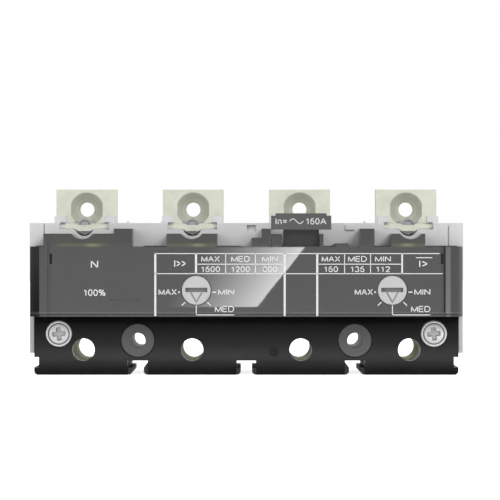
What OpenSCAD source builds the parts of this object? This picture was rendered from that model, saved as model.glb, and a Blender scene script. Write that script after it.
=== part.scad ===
// Four-pole interchangeable overcurrent trip unit of a moulded case circuit breaker.
// X runs across the poles, Z is up, and the front faces -Y. Depths are measured rearwards
// from the front face of the black terminal housing and are called b below.

/* [Case] */
// Distance between neighbouring poles
pole_pitch = 35; // [34:0.5:40]
// Depth of the case behind the terminal face
case_depth = 43; // [41:0.5:50]
// Height of the case roof above the feet
case_top = 49; // [48.5:0.25:52]
// Wall of the grey case
wall = 2; // [1.6:0.1:2.4]
// Thickness of the partition between two poles
partition = 3.5; // [3:0.25:4.5]
// Depth of the case front edge behind the terminal face
case_front = 2.5; // [2.2:0.1:3]
// Lowest point of the case side flanges
flange_bottom = 7; // [5:0.5:10]
// Height of the two ears beside each tab, above the roof
ear_h = 2.3; // [1:0.1:3]

/* [Front cover] */
// How far the cover stands in front of the terminal face
cover_proud = 9.5; // [9:0.25:12]
// Top edge of the flat panel
cover_top = 41.4; // [41:0.1:42]
// Wall of the cover's front panel
panel_wall = 2; // [1.6:0.1:2.2]
// Side wall of the cover
cover_wall = 1.6; // [1.2:0.1:1.8]
// Radius of the rounded ends
cover_round = 6; // [3:0.5:6]
// How far the case stands out beyond the cover at each end
cover_inset = 0.5; // [0.2:0.1:1]

/* [Terminal housing] */
// Height of the terminal housing
terminal_h = 19; // [18.5:0.25:20]
// Inset of the terminal housing from the case side
terminal_inset = 1.6; // [1.4:0.1:2]
// Radius of the terminal bores
bore_r = 3.61; // [3:0.05:3.8]
// Height of the terminal bores
bore_z = 8.14; // [7.8:0.1:8.6]
// Thickness of the housing in front of the terminals
terminal_wall = 3; // [2.6:0.1:3.2]
// Width of the T-slots
slot_w = 6.45; // [5:0.1:7]
// Height of the T-slots
slot_h = 4.6; // [4:0.1:5]
// Width of the T-slot neck
neck_w = 3.7; // [2:0.1:4]

/* [Mounting] */
// Height of the two mounting holes
mount_z = 11.1; // [10.9:0.1:12]
// Radius of the two mounting holes
mount_r = 2.45; // [2:0.05:2.6]
// Radius of the flange of the mounting bushes
bush_flange_r = 5.3; // [4.5:0.1:5.5]
// Distance of the captive screws from the case side
screw_edge = 9.54; // [9:0.1:9.8]
// Height of the captive screws
screw_z = 13.26; // [13.1:0.1:13.8]
// Radius of the captive screw heads
screw_head_r = 4.2; // [3.6:0.1:4.3]
// Radius of the captive screw shanks
screw_r = 1.9; // [1.6:0.05:1.95]

/* [Conductors] */
// Width of the upper tabs
tab_w = 20; // [16:0.5:21]
// Thickness of the upper tabs
tab_t = 5; // [4:0.25:5.25]
// Depth of the tab's front face
tab_b = 20.7; // [19.5:0.1:21]
// Height of the tab's top edge
tab_top = 60.15; // [59:0.25:64]
// Height of the tab holes
tab_hole_z = 53.6; // [53.4:0.1:54.5]
// Radius of the tab holes
tab_hole_r = 2.35; // [1.8:0.05:3]
// Radius of the tab countersinks
sink_r = 5.7; // [4:0.1:5.8]
// Width of the heater strip
strip_w = 10; // [8:0.25:10.5]

/* [Adjusters] */
// Radius of the two setting dials
dial_r = 4.63; // [4.2:0.1:4.8]
// Height of the dials above the terminal housing
dial_up = 8.4; // [8:0.1:8.8]
// Place of the magnetic dial across the case
magnetic_x = -16; // [-17:0.25:-15]
// Place of the thermal dial across the case
thermal_x = 46.6; // [45:0.1:48]
// Throw of the dial cranks
throw = 1.8; // [1.2:0.1:1.9]

/* [Trip mechanism] */
// Radius of the trip bar
trip_r = 1.6; // [1.2:0.1:1.7]
// Thickness of the armature plates
armature_t = 1.5; // [1:0.1:1.6]
// Air gap between the armature and its yoke
air_gap = 1.65; // [1.4:0.05:2]
// Thickness of the bimetals
bimetal_t = 1; // [0.8:0.05:1.1]
// Width of the bimetals
bimetal_w = 7; // [5:0.25:7.5]
// Thickness of the yokes
yoke_t = 2; // [1.5:0.1:2.2]

/* [Rating tag] */
// Width of the rating tag
tag_w = 19.2; // [15:0.2:19.4]
// Height of the rating tag's face
tag_h = 4.45; // [4:0.05:6]

/* [Hidden] */

$fn = 48;
poles = [0, 1, 2, 3];
fit = 0.05;
slip = 0.15;
gap = 0.3;
cut = 1;

light_grey = [0.76, 0.76, 0.77];
black = [0.13, 0.13, 0.14];
smoke = [0.36, 0.37, 0.36];
silver_plate = [0.86, 0.86, 0.80];
copper = [0.72, 0.45, 0.25];
steel = [0.62, 0.63, 0.65];
mid_grey = [0.40, 0.40, 0.41];

// Overall places
total_b = case_depth + cover_proud;
face_y = cover_proud - total_b / 2;
half_w = len(poles) * pole_pitch / 2;
dial_z = terminal_h + dial_up;
function Y(b) = face_y + b;
function pole_x(i) = (i - (len(poles) - 1) / 2) * pole_pitch;
seam_x = [for (i = [1:len(poles) - 1]) (i - len(poles) / 2) * pole_pitch];
function pole_side(i) = pole_x(i) < 0 ? -1 : 1;

// Case places
floor_z = terminal_h + 0.2;
floor_top = floor_z + wall;
roof_in = case_top - wall;
split_b = tab_b + tab_t + gap;
inner_x = half_w - wall;
beam_z = case_top - 3.5;
beam_b = 8.4;
curtain_t = 2;
curtain_z = cover_top + 0.2;
compartment = pole_pitch / 2 - partition / 2;
function room_left(i) = max(-inner_x, pole_x(i) - compartment);
function room_right(i) = min(inner_x, pole_x(i) + compartment);

// Calibration screw and keeper places
ring_z = case_top - 1;
ring_in = 3.25;
ring_out = 4;
notch_r = ring_out + 0.25;
head_r = 2.9;
head_b = 8;
rib_b = 9.5;
rib_t = 1.1;
keeper_b = 5.4;
keeper_t = 1;
keeper_half = 7.8;
keeper_z = case_top - 1.8;
keeper_h = 1.6;
ear_in = 6.1;
ear_out = 9.9;
ear_t = 4.6;
cal_r = 1.1;

// Conductor places
strip_b = 13;
strip_t = 2;
shelf_t = 3;
shelf_z = case_top - 9;
shelf_w = tab_w - 2;
bend_r = 2.4;
block_top = bore_z + 6;
block_bottom = bore_z - 5.4;
sink_depth = 3.2;
sleeve_b = strip_b + strip_t + 0.1;
sleeve_r = bore_r + 1.4;

// Trip mechanism places
trip_z = shelf_z - 3;
trip_b = 2;
pivot_z = trip_z - 1.5;
armature_b = 5.45;
pivot_b = armature_b + armature_t / 2;
pin_r = 0.9;
barrel_r = 1.7;
armature_w = 18.4;
armature_neck = 13.6;
tail_w = 5;
tail_z = pivot_z + 4.1;
leg_b = armature_b + armature_t + air_gap;
leg_x = armature_w / 2;
yoke_z = [floor_top + 3.3, pivot_z - 2.3];
yoke_b = strip_b + strip_t + 1.2;
bimetal_b = strip_b - 2 * bimetal_t;
foot_z = floor_z + 2.8;
foot_h = 5;
arm_z = tail_z + gap;
arm_t = 1;
arm_rear = bimetal_b - 0.7;
arm_face = armature_b - 0.9;
stalk_b = arm_face - 1.3;
hub_top = cover_top - cover_wall - gap - 0.2;
journal_r = 1.2;
heel_x = 44;
heel_w = 3;
lever_w = 2;
lever_x = pole_x(1) - ear_out - 2 * gap - lever_w / 2;
lever_t = 1.6;
lever_swing = 2.2;
lever_b = [beam_b + lever_swing, beam_b + lever_swing + lever_t];
lever_in = 0.3;

// Adjuster places
carrier_b = -cover_proud + panel_wall + 1.3;
carrier_t = 2;
carrier_rear = carrier_b + carrier_t;
carrier_z = [floor_top + 0.1, cover_top - cover_wall - 0.4];
crank_r = 0.8;
shaft_r = throw + crank_r + 0.2;
slide_b = carrier_rear + 0.4;
slide_t = 2;
slide_h = 2.2;
fork_play = 0.45;
tine = 1.6;
magnetic_z = dial_z - 4.5;
thermal_z = dial_z + 2.8;
strap_w = 3;
slide_half = half_w - 10;
lug_w = 6;
ramp = 0.1;
spring_x = 7;
function spring_place(i) = pole_x(i) + pole_side(i) * spring_x;
spring_z = dial_z + 0.3;
spring_r = 1.1;
wire_r = 0.2;

// Cover places
cover_bottom = terminal_h - 0.05;
cover_half = half_w - cover_inset;
cover_rear = case_front - 0.2;
cover_floor = cover_bottom + 2;
groove_x = cover_half - 6.3;
clip_x = groove_x - 0.7;
clip_z = [cover_top - 5.5, cover_top - 2.3];
panel_step = 1.15;
tag_x = pole_x(2);
tag_neck = 11.4;
low_finger = cover_top + 4.1;
high_finger = cover_top + 5.7;
tag_z = high_finger - 0.3;
fingers = [
    [pole_x(0) - 12.3, pole_x(0) + 10.2, low_finger],
    [pole_x(0) + 10.2, pole_x(0) + 16.1, high_finger],
    [pole_x(1) - 8, pole_x(1) + 8.2, low_finger],
    [tag_x - 15.8, tag_x - 12.6, cover_top + 2.8],
    [tag_x - 12.6, tag_x - tag_w / 2 - 0.1, high_finger],
    [tag_x + tag_neck / 2 + 0.2, tag_x + tag_neck / 2 + 1.4, low_finger],
    [tag_x + 10.8, tag_x + 15.1, cover_top + 1],
    [tag_x + 18.8, pole_x(3) - 11.6, high_finger],
    [pole_x(3) - 6.3, pole_x(3) + 4.6, low_finger]
];

// Limits that lie the same distance to both sides of a place
function span(c, half) = [c - half, c + half];

// Box between pairs of limits across the case, in depth and in height
module block(x, b, z) {
    translate([x[0], Y(b[0]), z[0]]) cube([x[1] - x[0], b[1] - b[0], z[1] - z[0]]);
}

// Round bar along the depth
module rod(r, b, x, z) {
    translate([x, Y(b[0]), z]) rotate([-90, 0, 0]) cylinder(r = r, h = b[1] - b[0]);
}

// Round bar across the case
module axle(r, x, b, z) {
    translate([x[0], Y(b), z]) rotate([0, 90, 0]) cylinder(r = r, h = x[1] - x[0]);
}

// Outline of depths and heights drawn out across the case
module across(points, x) {
    translate([x[0], Y(0), 0]) rotate([90, 0, 90]) linear_extrude(height = x[1] - x[0]) polygon(points);
}

// Outline of places across the case and heights drawn out in depth
module through(points, b) {
    translate([0, Y(b[1]), 0]) rotate([90, 0, 0]) linear_extrude(height = b[1] - b[0]) polygon(points);
}

// Both ends of the case
module both_ends() {
    children();
    mirror([1, 0, 0]) children();
}

// Points of an arc
function arc(c, r, a0, a1, n = 8) =
    [for (k = [0:n]) let (a = a0 + (a1 - a0) * k / n) c + r * [cos(a), sin(a)]];

// Coil of round wire along the depth, worked out as rings of points round a helix
module coil(x, b, z, r, turns, phase = 0) {
    sides = 6;
    steps = turns * 12;
    points = [
        for (k = [0:steps])
            let (a = phase + 30 * k, y = Y(b[0] + wire_r) + (b[1] - b[0] - 2 * wire_r) * k / steps)
                for (j = [0:sides - 1])
                    let (t = 360 * j / sides, q = r + wire_r * cos(t))
                        [x + q * cos(a), y + wire_r * sin(t), z + q * sin(a)]
    ];
    skin = [
        for (k = [0:steps - 1], j = [0:sides - 1])
            let (m = (j + 1) % sides, p = k * sides)
                each [[p + j, p + sides + m, p + m], [p + j, p + sides + j, p + sides + m]]
    ];
    lids = [[for (j = [0:sides - 1]) j], [for (j = [0:sides - 1]) (steps + 1) * sides - 1 - j]];
    polyhedron(points = points, faces = concat(skin, lids));
}

// Base housing: open compartments, bridge over the front, ring bosses, ears and side flanges
nib_x = [pole_x(0) + 13.9, pole_x(1) - 9.8, pole_x(3) - 14];
nib_w = 0.8;
nib_h = 0.6;
nib_b = [beam_b + 1.6, beam_b + 3.6];
pad_x = pole_x(2) + 14.5;
pad_w = 3;
pad_in = [0.7, 2.2];
recess_x = [0.2, 3.1];
recess_in = [0.7, 3];
corner_x = half_w - 4.7;
corner_w = 1.9;
corner_h = 1;
guide_b = [9.8, 16.2];
guide_z = [11.8, 14.3];
guide_play = 0.2;
module ear_pair(x) {
    for (s = [-1, 1])
        block([x + min(s * ear_in, s * ear_out), x + max(s * ear_in, s * ear_out)],
              [beam_b, beam_b + ear_t], [roof_in, case_top + ear_h]);
}

module case_flanges(b) {
    both_ends() block([half_w - terminal_inset + 0.2, half_w], b, [flange_bottom, floor_z + cut / 2]);
}

module room(i, b, z) {
    block([room_left(i), room_right(i)], b, z);
}

module base_solid() {
    block([-half_w, half_w], [case_front, split_b], [floor_z, case_top]);
    case_flanges([case_front, split_b]);
    for (i = poles) ear_pair(pole_x(i));
    for (x = nib_x) block(span(x, nib_w / 2), nib_b, [roof_in, case_top + nib_h]);
    block([pad_x, pad_x + pad_w], [case_front - 0.5, case_front + cut],
          [case_top - pad_in[1], case_top - pad_in[0]]);
}

module base_rooms() {
    for (i = poles) {
        room(i, [case_front - cut, split_b + cut], [floor_top, curtain_z]);
        room(i, [case_front + curtain_t, split_b + cut], [floor_top, beam_z]);
        room(i, [rib_b + rib_t, split_b + cut], [floor_top, roof_in]);
        block(span(pole_x(i), tab_w / 2 + 0.4), [tab_b - 0.5, split_b + cut],
              [roof_in - cut, case_top + cut]);
        block(span(pole_x(i), strip_w / 2 + gap), [strip_b - gap, split_b + cut],
              [floor_z - cut, floor_top + cut]);
    }
}

function hollow(f) = f[1] - f[0] > 2 * cover_wall + 0.5 && f[2] - cover_wall > curtain_z;

module finger_window(f) {
    if (hollow(f)) difference() {
        block([f[0] + cover_wall, f[1] - cover_wall], [case_front - cut, case_front + curtain_t + cut],
              [curtain_z - cut, min(f[2] - cover_wall, beam_z)]);
        rings(ring_out + 0.6, [case_front - 2 * cut, case_front + curtain_t + 2 * cut]);
    }
}

// Rods of one radius on the axes of all four rings
module rings(r, b) {
    for (i = poles) rod(r, b, pole_x(i), ring_z);
}

module keeper_seat(x) {
    block(span(x, keeper_half + slip), [case_front - cut, rib_b],
          [keeper_z - gap, case_top + cut / 4]);
    rod(ring_in, [case_front - cut, rib_b], x, ring_z);
    rod(cal_r + 0.2, [rib_b - cut, rib_b + rib_t + cut], x, ring_z);
    block(span(x, bimetal_w / 2 + 0.5), [rib_b + rib_t, strip_b], [roof_in - cut, case_top + cut]);
}

module ring_boss(x) {
    difference() {
        rod(ring_out, [case_front, rib_b], x, ring_z);
        rod(ring_in, [case_front - cut, rib_b + cut], x, ring_z);
        block(span(x, ring_out + cut), [case_front - cut, rib_b + cut],
              [keeper_z - gap, ring_z + ring_out + cut]);
    }
}

module base_housing() color(light_grey) {
    difference() {
        union() {
            difference() {
                base_solid();
                base_rooms();
            }
            for (i = poles) ring_boss(pole_x(i));
            bearing_tongues();
        }
        for (f = fingers) finger_window(f);
        for (i = poles) keeper_seat(pole_x(i));
        lever_slot();
        for (x = seam_x)
            block(span(x, partition), [case_front - cut, trip_b + trip_r + 0.6],
                  span(trip_z, trip_r + 0.5));
        both_ends() {
            block(span(corner_x, 0.2), [case_front - cut, case_front + 0.5], [curtain_z, case_top + cut]);
            through([[corner_x, case_top - corner_h], [corner_x + corner_w, case_top + 0.1],
                     [corner_x, case_top + 0.1]], [case_front - cut, case_front + 5]);
            flange_window();
        }
        block(recess_x, span(case_front, cut), [case_top - recess_in[1], case_top - recess_in[0]]);
        for (x = seam_x) pilot_hole(x);
    }
}

// Blind pilot hole for a case screw in the rear edge of a partition
module pilot_hole(x) {
    rod(case_screw_r + fit, [split_b - case_screw_grip, split_b + cut], x, case_screw_z);
}

// Tongues that carry the trip bar's journals and locate the front cover
tongue_t = 1.2;
tongue_x = cover_half - cover_wall - 0.2;
module bearing_tongues() {
    both_ends() difference() {
        union() {
            block([tongue_x - tongue_t, tongue_x], [-2, case_front + 5], [floor_top + 3, cover_top - 2]);
            block([tongue_x - tongue_t, half_w - wall + fit], [case_front, case_front + 5],
                  [floor_top + 3, cover_top - 2]);
        }
        axle(journal_r + fit, [tongue_x - tongue_t - cut, tongue_x + cut], trip_b, trip_z);
    }
}

module lever_slot() {
    block(span(lever_x, lever_w / 2 + gap), [lever_b[0] - lever_swing, lever_b[1] + 1.2],
          [beam_z - cut, case_top + cut]);
}

module flange_window() {
    block([half_w - terminal_inset - 0.2, half_w + cut], guide_b, guide_z);
}

// Back cover: closes the compartments, carries the yokes on posts and backs the tabs
case_screw_r = 1.1;
case_screw_z = 30;
case_screw_grip = 8;
case_screw_head = 2.2;
bay_half = 9;
baffle_half = 7;
boss_l = 8;
post_w = 6;
post_z = [yoke_z[0] + 1.5, yoke_z[1] - 1.7];
stud_r = 1.45;

module back_cover() color(light_grey) {
    difference() {
        union() {
            block([-half_w, half_w], [split_b, case_depth], [floor_z, case_top]);
            case_flanges([split_b, case_depth]);
        }
        for (i = poles) {
            room(i, [split_b - cut, case_depth - wall], [floor_top, roof_in]);
            block(span(pole_x(i), bay_half), [case_depth - 0.7, case_depth + cut],
                  [floor_top + 2, roof_in - 3]);
        }
        for (x = seam_x) {
            rod(case_screw_r + fit, [split_b - cut, case_depth + cut], x, case_screw_z);
            rod(case_screw_head + slip, [case_depth - 2, case_depth + cut], x, case_screw_z);
        }
    }
    for (x = seam_x) back_boss(x);
    for (i = poles) {
        block(span(pole_x(i), post_w / 2), [yoke_b + yoke_t, case_depth - wall + 0.2], post_z);
        rod(stud_r, [yoke_b, yoke_b + yoke_t + 0.1], pole_x(i), (post_z[0] + post_z[1]) / 2);
        baffle(pole_x(i));
    }
}

// Bracket behind a tab: a shelf and two cheeks up to the roof
module baffle(x) {
    b = [split_b, case_depth - wall + 0.2];
    block(span(x, baffle_half), b, [shelf_z, shelf_z + wall]);
    block([x - baffle_half, x - baffle_half + wall], b, [shelf_z, roof_in + 0.2]);
    block([x + baffle_half - wall, x + baffle_half], b, [shelf_z, roof_in + 0.2]);
}

module back_boss(x) {
    difference() {
        rod(case_screw_head + 1.4, [case_depth - boss_l, case_depth - 0.8], x, case_screw_z);
        rod(case_screw_r + fit, [case_depth - boss_l - cut, case_depth + cut], x, case_screw_z);
        rod(case_screw_head + slip, [case_depth - 2, case_depth + cut], x, case_screw_z);
    }
}

module case_screws() color(steel) {
    for (x = seam_x) {
        rod(case_screw_r, [split_b - case_screw_grip + 0.2, case_depth - 1.9], x, case_screw_z);
        difference() {
            rod(case_screw_head, [case_depth - 1.95, case_depth - 0.5], x, case_screw_z);
            block(span(x, 1.6), [case_depth - 1.2, case_depth], span(case_screw_z, 0.3));
            block(span(x, 0.3), [case_depth - 1.2, case_depth], span(case_screw_z, 1.6));
        }
    }
}

// Terminal housing: the black moulding round the lower terminals
terminal_half = half_w - terminal_inset;
face_bow = 70;
bow_z = 7.5;
foot_r = 1.3;
screw_x = half_w - screw_edge;
block_half = bore_r + 1.4;
guide_h = 0.9;
side_slot = [2.46, 5.75];
side_slot_in = 1.5;
slot_lip_b = 2;
slot_mouth = 0.75;
bar_h = 2.3;
core_b = strip_b + 7;

module t_slot(x) {
    w = slot_w / 2;
    n = neck_w / 2;
    inner = x > 0 ? -1 : 1;
    bar_z = slot_h - bar_h;
    block(span(x, w), [-cut, slot_lip_b], [-cut, slot_h]);
    if (x == 0)
        block([-w, w], [-cut, case_depth + cut], [bar_z, slot_h]);
    else
        through([[x - inner * w, slot_h], [x - inner * w, bar_z], [x + inner * n, bar_z],
                 [x + inner * w, slot_h - 0.4], [x + inner * w, slot_h]], [-cut, case_depth + cut]);
    through([[x - n, bar_z + 0.1], [x - n, slot_mouth], [x - n - slot_mouth, 0], [x - n - slot_mouth, -cut],
             [x + n + slot_mouth, -cut], [x + n + slot_mouth, 0], [x + n, slot_mouth], [x + n, bar_z + 0.1]],
            [-cut, case_depth + cut]);
}

module foot_round(x, side) {
    difference() {
        block([min(x, x - side * foot_r) - cut / 100, max(x, x - side * foot_r) + cut / 100],
              [-cut, case_depth + cut], [-cut, foot_r]);
        rod(foot_r, [-2 * cut, case_depth + 2 * cut], x - side * foot_r, foot_r);
    }
}

module housing_body() {
    intersection() {
        block([-terminal_half, terminal_half], [0, case_depth], [0, terminal_h]);
        axle(face_bow, [-half_w, half_w], face_bow, bow_z);
    }
    both_ends()
        block([terminal_half - cut, terminal_half + guide_h],
              [guide_b[0] + guide_play, guide_b[1] - guide_play],
              [guide_z[0] + guide_play, guide_z[1] - guide_play]);
}

module rear_cores(i) {
    x = pole_x(i);
    out = pole_side(i);
    inner = i == 0 || i == 3 ? [for (s = [-out]) s] : [-1, 1];
    for (s = inner)
        block([min(x + s * (sleeve_r + 1.6), x + s * (pole_pitch / 2 - slot_w / 2 - 2)),
               max(x + s * (sleeve_r + 1.6), x + s * (pole_pitch / 2 - slot_w / 2 - 2))],
              [core_b, case_depth + cut], [wall, terminal_h - wall]);
    block(span(x, 4.4), [core_b, case_depth + cut], [bore_z + sleeve_r + 1.4, terminal_h - wall]);
}

module terminal_housing() color(black) {
    difference() {
        housing_body();
        for (x = seam_x) t_slot(x);
        both_ends() {
            block([terminal_half - side_slot_in, half_w], [-cut, case_depth + cut], side_slot);
            foot_round(terminal_half, 1);
        }
        for (i = poles) {
            block(span(pole_x(i), block_half + slip),
                  [terminal_wall, sleeve_b + fit], [block_bottom - slip, terminal_h + cut]);
            rod(bore_r, [-cut, terminal_wall + cut], pole_x(i), bore_z);
            rod(sleeve_r + fit, [sleeve_b - cut, case_depth + cut], pole_x(i), bore_z);
            rear_cores(i);
        }
        for (s = [-1, 1]) {
            rod(bush_flange_r + 0.2, [-cut, bush_flange_t + fit], s * pole_pitch, mount_z);
            rod(bush_r + fit, [bush_flange_t, case_depth + cut], s * pole_pitch, mount_z);
            rod(screw_head_r + 0.25, [-cut, screw_seat], s * screw_x, screw_z);
            rod(screw_r + 0.07, [screw_seat - cut, case_depth + cut], s * screw_x, screw_z);
        }
        rod(1.6, [-cut, 0.9], coding_x, coding_z);
        rod(coding_r + fit, [0, coding_l + fit], coding_x, coding_z);
    }
}

// Small parts of the terminal housing
bush_flange_t = 3;
bush_r = mount_r + 1.5;
screw_seat = 2.2;
screw_face = -0.3;
screw_rim = 0.65;
screw_groove = 0.4;
cross_l = 2.4;
cross_w = 0.55;
cross_depth = 1.3;
coding_x = 8.8;
coding_z = 7.64;
coding_r = 1.1;
coding_l = 9;
coding_in = 0.4;

module mounting_bush(side) color(mid_grey) {
    difference() {
        union() {
            rod(bush_flange_r, [0.1, bush_flange_t], side * pole_pitch, mount_z);
            rod(bush_r, [0.1, case_depth], side * pole_pitch, mount_z);
        }
        rod(mount_r, [-cut, case_depth + cut], side * pole_pitch, mount_z);
    }
}

module captive_screw(side) color(steel) {
    x = side * screw_x;
    difference() {
        union() {
            rod(screw_head_r, [screw_face, screw_seat - 0.65], x, screw_z);
            rod(screw_r, [0, case_depth - 1], x, screw_z);
        }
        difference() {
            rod(screw_head_r - screw_rim, [screw_face - cut, 0], x, screw_z);
            rod(screw_head_r - screw_rim - screw_groove, [screw_face - 2 * cut, cut], x, screw_z);
        }
        for (r = [[cross_l, cross_w], [cross_w, cross_l]])
            block([x - r[0], x + r[0]], [screw_face - cut, screw_face + cross_depth],
                  [screw_z - r[1], screw_z + r[1]]);
    }
}

module screw_washers() color(steel) {
    for (s = [-1, 1]) difference() {
        rod(screw_head_r - 0.3, [screw_seat - 0.55, screw_seat], s * screw_x, screw_z);
        rod(screw_r + 0.1, [0, screw_seat + cut], s * screw_x, screw_z);
    }
}

module coding_pin() color(black) {
    difference() {
        rod(coding_r, [coding_in, coding_l + fit], coding_x, coding_z);
        rod(coding_r - 0.65, [coding_in - cut, coding_in + 0.3], coding_x, coding_z);
    }
}

// Front cover: smoked crenellated box with rounded ends
module cover_plan(round_r, half, front, rear) {
    translate([-half + round_r, Y(front)]) square([2 * (half - round_r), rear - front]);
    translate([-half, Y(front + round_r)]) square([2 * half, rear - front - round_r]);
    for (s = [-1, 1]) translate([s * (half - round_r), Y(front + round_r)]) circle(r = round_r);
}

// Walls between two fingers that touch stand only where both need one
function finger_in_left(k) =
    k > 0 && fingers[k - 1][1] == fingers[k][0] && fingers[k - 1][2] > fingers[k][2]
        ? -cover_wall : cover_wall;
function finger_in_right(k) =
    k < len(fingers) - 1 && fingers[k + 1][0] == fingers[k][1] && fingers[k + 1][2] > fingers[k][2]
        ? -cover_wall : cover_wall;

module cover_shell() {
    difference() {
        union() {
            translate([0, 0, cover_bottom]) linear_extrude(height = cover_top - cover_bottom)
                cover_plan(cover_round, cover_half, -cover_proud, cover_rear);
            for (f = fingers)
                block([f[0], f[1]], [-cover_proud, cover_rear], [cover_top - cut, f[2]]);
        }
        translate([0, 0, cover_floor]) linear_extrude(height = cover_top - cover_wall - cover_floor)
            cover_plan(cover_round - cover_wall, cover_half - cover_wall, -cover_proud + panel_wall,
                       cover_rear + cut);
        for (k = [0:len(fingers) - 1])
            let (f = fingers[k])
                if (hollow(f)) difference() {
                    block([f[0] + finger_in_left(k), f[1] - finger_in_right(k)],
                          [-cover_proud + panel_wall, cover_rear + cut],
                          [cover_top - cover_wall - cut, f[2] - cover_wall]);
                    rings(notch_r + cover_wall, [-cover_proud, cover_rear + 2 * cut]);
                }
        rings(notch_r, [-cover_proud - cut, cover_rear + cut]);
    }
}

module front_cover() color(smoke) {
    difference() {
        cover_shell();
        for (x = [magnetic_x, thermal_x])
            rod(dial_r + slip, [-cover_proud - cut, -cover_proud + panel_wall + cut], x, dial_z);
        both_ends() {
            block(span(groove_x, 0.4), [-cover_proud - cut, -cover_proud + 0.7],
                  [cover_bottom - cut, cover_top + cut]);
            block(span(clip_x, 0.4), [-cover_proud - cut, -cover_proud + panel_wall + cut], clip_z);
        }
        through([[-groove_x, cover_bottom - cut], [groove_x, cover_bottom - cut],
                 [groove_x, cover_bottom + panel_step], [-groove_x, cover_bottom + panel_step]],
                [-cover_proud - cut, -cover_proud + 0.3]);
        block([-half_w, half_w], [-0.2, cover_rear + cut], [cover_bottom - cut, floor_z + fit]);
        block(span(tag_x, tag_neck / 2 + slip),
              [-cover_proud + panel_wall + 0.1, -cover_proud + panel_wall + 0.1 + tag_neck_t + 2 * slip],
              [cover_top - cover_wall - cut, cover_top + cut]);
    }
}

// Rating tag: T-shaped label that plugs into the cover's roof
tag_neck_t = 2;
tag_t = 4;
module rating_tag() color(mid_grey) {
    block(span(tag_x, tag_w / 2), [-cover_proud, -cover_proud + tag_t], [tag_z, tag_z + tag_h]);
    block([tag_x - tag_w / 2 + 1.4, tag_x + tag_w / 2 - 1.5], [-cover_proud, -cover_proud + tag_t],
          [tag_z + tag_h - 0.1, tag_z + tag_h + 0.75]);
    block(span(tag_x, tag_neck / 2),
          [-cover_proud + panel_wall + 0.1 + slip, -cover_proud + panel_wall + 0.1 + slip + tag_neck_t],
          [cover_top - cover_wall, tag_z + 0.1]);
}

// Dial carrier: plate with the dial bearings, slide straps, cover clips and spring posts
magnetic_straps = [for (x = seam_x) x];
strap_shift = 4.9;
thermal_straps = [for (x = seam_x) x - sign(x) * strap_shift];

module strap(x, z) {
    difference() {
        block(span(x, strap_w / 2), [carrier_rear - 0.1, slide_b + slide_t + 1.1],
              [z - 1.5, z + slide_h + 1.5]);
        block(span(x, strap_w), [carrier_rear - 0.2, slide_b + slide_t + gap], [z - gap, z + slide_h + gap]);
    }
}

module dial_carrier() color(mid_grey) {
    difference() {
        block([-clip_x + 0.3, clip_x - 0.3], [carrier_b, carrier_rear], carrier_z);
        for (x = [magnetic_x, thermal_x])
            rod(shaft_r + fit, [carrier_b - cut, carrier_rear + cut], x, dial_z);
    }
    for (x = magnetic_straps) strap(x, magnetic_z);
    for (x = thermal_straps) strap(x, thermal_z);
    both_ends()
        block([clip_x - 0.31, clip_x + 0.3], [-cover_proud + 0.5, carrier_rear],
              [clip_z[0] + 0.2, clip_z[1] - 0.2]);
    for (i = poles)
        rod(spring_r - wire_r - 0.15, [carrier_rear - 0.1, carrier_rear + 2], spring_place(i), spring_z);
}

// Setting dial: slotted disc, shaft in the carrier's bearing and crank pin that drives a slide
dial_slot_w = 7;
dial_slot_h = 1.4;
pointer_w = 4.3;
pointer_line = 0.5;
module dial(x, crank) color(light_grey) {
    face = -cover_proud + 0.2;
    pointer_z = dial_z - dial_slot_h / 2 + 0.2;
    tip_z = dial_z - dial_r + 0.4;
    difference() {
        union() {
            rod(dial_r, [face, face + 2.4], x, dial_z);
            rod(shaft_r + 1.2, [face + 2.3, carrier_b - 0.1], x, dial_z);
            rod(shaft_r, [face + 2.3, carrier_rear + 0.1], x, dial_z);
        }
        block(span(x, dial_slot_w / 2), [face - cut, face + 1.1],
              [dial_z - dial_slot_h / 2 + 0.1, dial_z + dial_slot_h / 2 + 0.1]);
        through([[x - pointer_w / 2, pointer_z], [x, tip_z], [x + pointer_w / 2, pointer_z],
                 [x + pointer_w / 2 - pointer_line, pointer_z], [x, tip_z + 1.6 * pointer_line],
                 [x - pointer_w / 2 + pointer_line, pointer_z]], [face - cut, face + 0.4]);
    }
    rod(crank_r, [carrier_rear, slide_b + slide_t - 0.4], x, dial_z + crank * throw);
}

// Slides: bars driven by a crank in a fork, with ramps that set the rest places behind them
module slide_bar(x, z, up) {
    half = crank_r + fork_play;
    difference() {
        union() {
            block([-slide_half, slide_half], [slide_b, slide_b + slide_t], [z, z + slide_h]);
            block(span(x, half + tine), [slide_b, slide_b + slide_t],
                  up > 0 ? [z + slide_h - 0.1, dial_z + 1.2] : [dial_z - 1.2, z + 0.1]);
        }
        block(span(x, half), [slide_b - cut, slide_b + slide_t + cut],
              up > 0 ? [dial_z - throw - crank_r - 0.4, dial_z + 2]
                     : [dial_z - 2, dial_z + throw + crank_r + 0.4]);
    }
}

module ramp_lug(x, z, h, face) {
    translate([0, 0, z]) linear_extrude(height = h)
        polygon([[x - lug_w / 2, Y(slide_b + slide_t - 0.1)], [x + lug_w / 2, Y(slide_b + slide_t - 0.1)],
                 [x + lug_w / 2, Y(face - ramp * lug_w / 2)], [x - lug_w / 2, Y(face + ramp * lug_w / 2)]]);
}

module magnetic_slide() color(light_grey) {
    slide_bar(magnetic_x, magnetic_z, 1);
    for (i = poles) ramp_lug(pole_x(i), magnetic_z, slide_h, armature_b - 0.9);
}

module thermal_slide() color(light_grey) {
    slide_bar(thermal_x, thermal_z, -1);
    for (s = [-1, 1]) ramp_lug(s * heel_x, thermal_z, slide_h, trip_b - 1.9);
}

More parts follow.
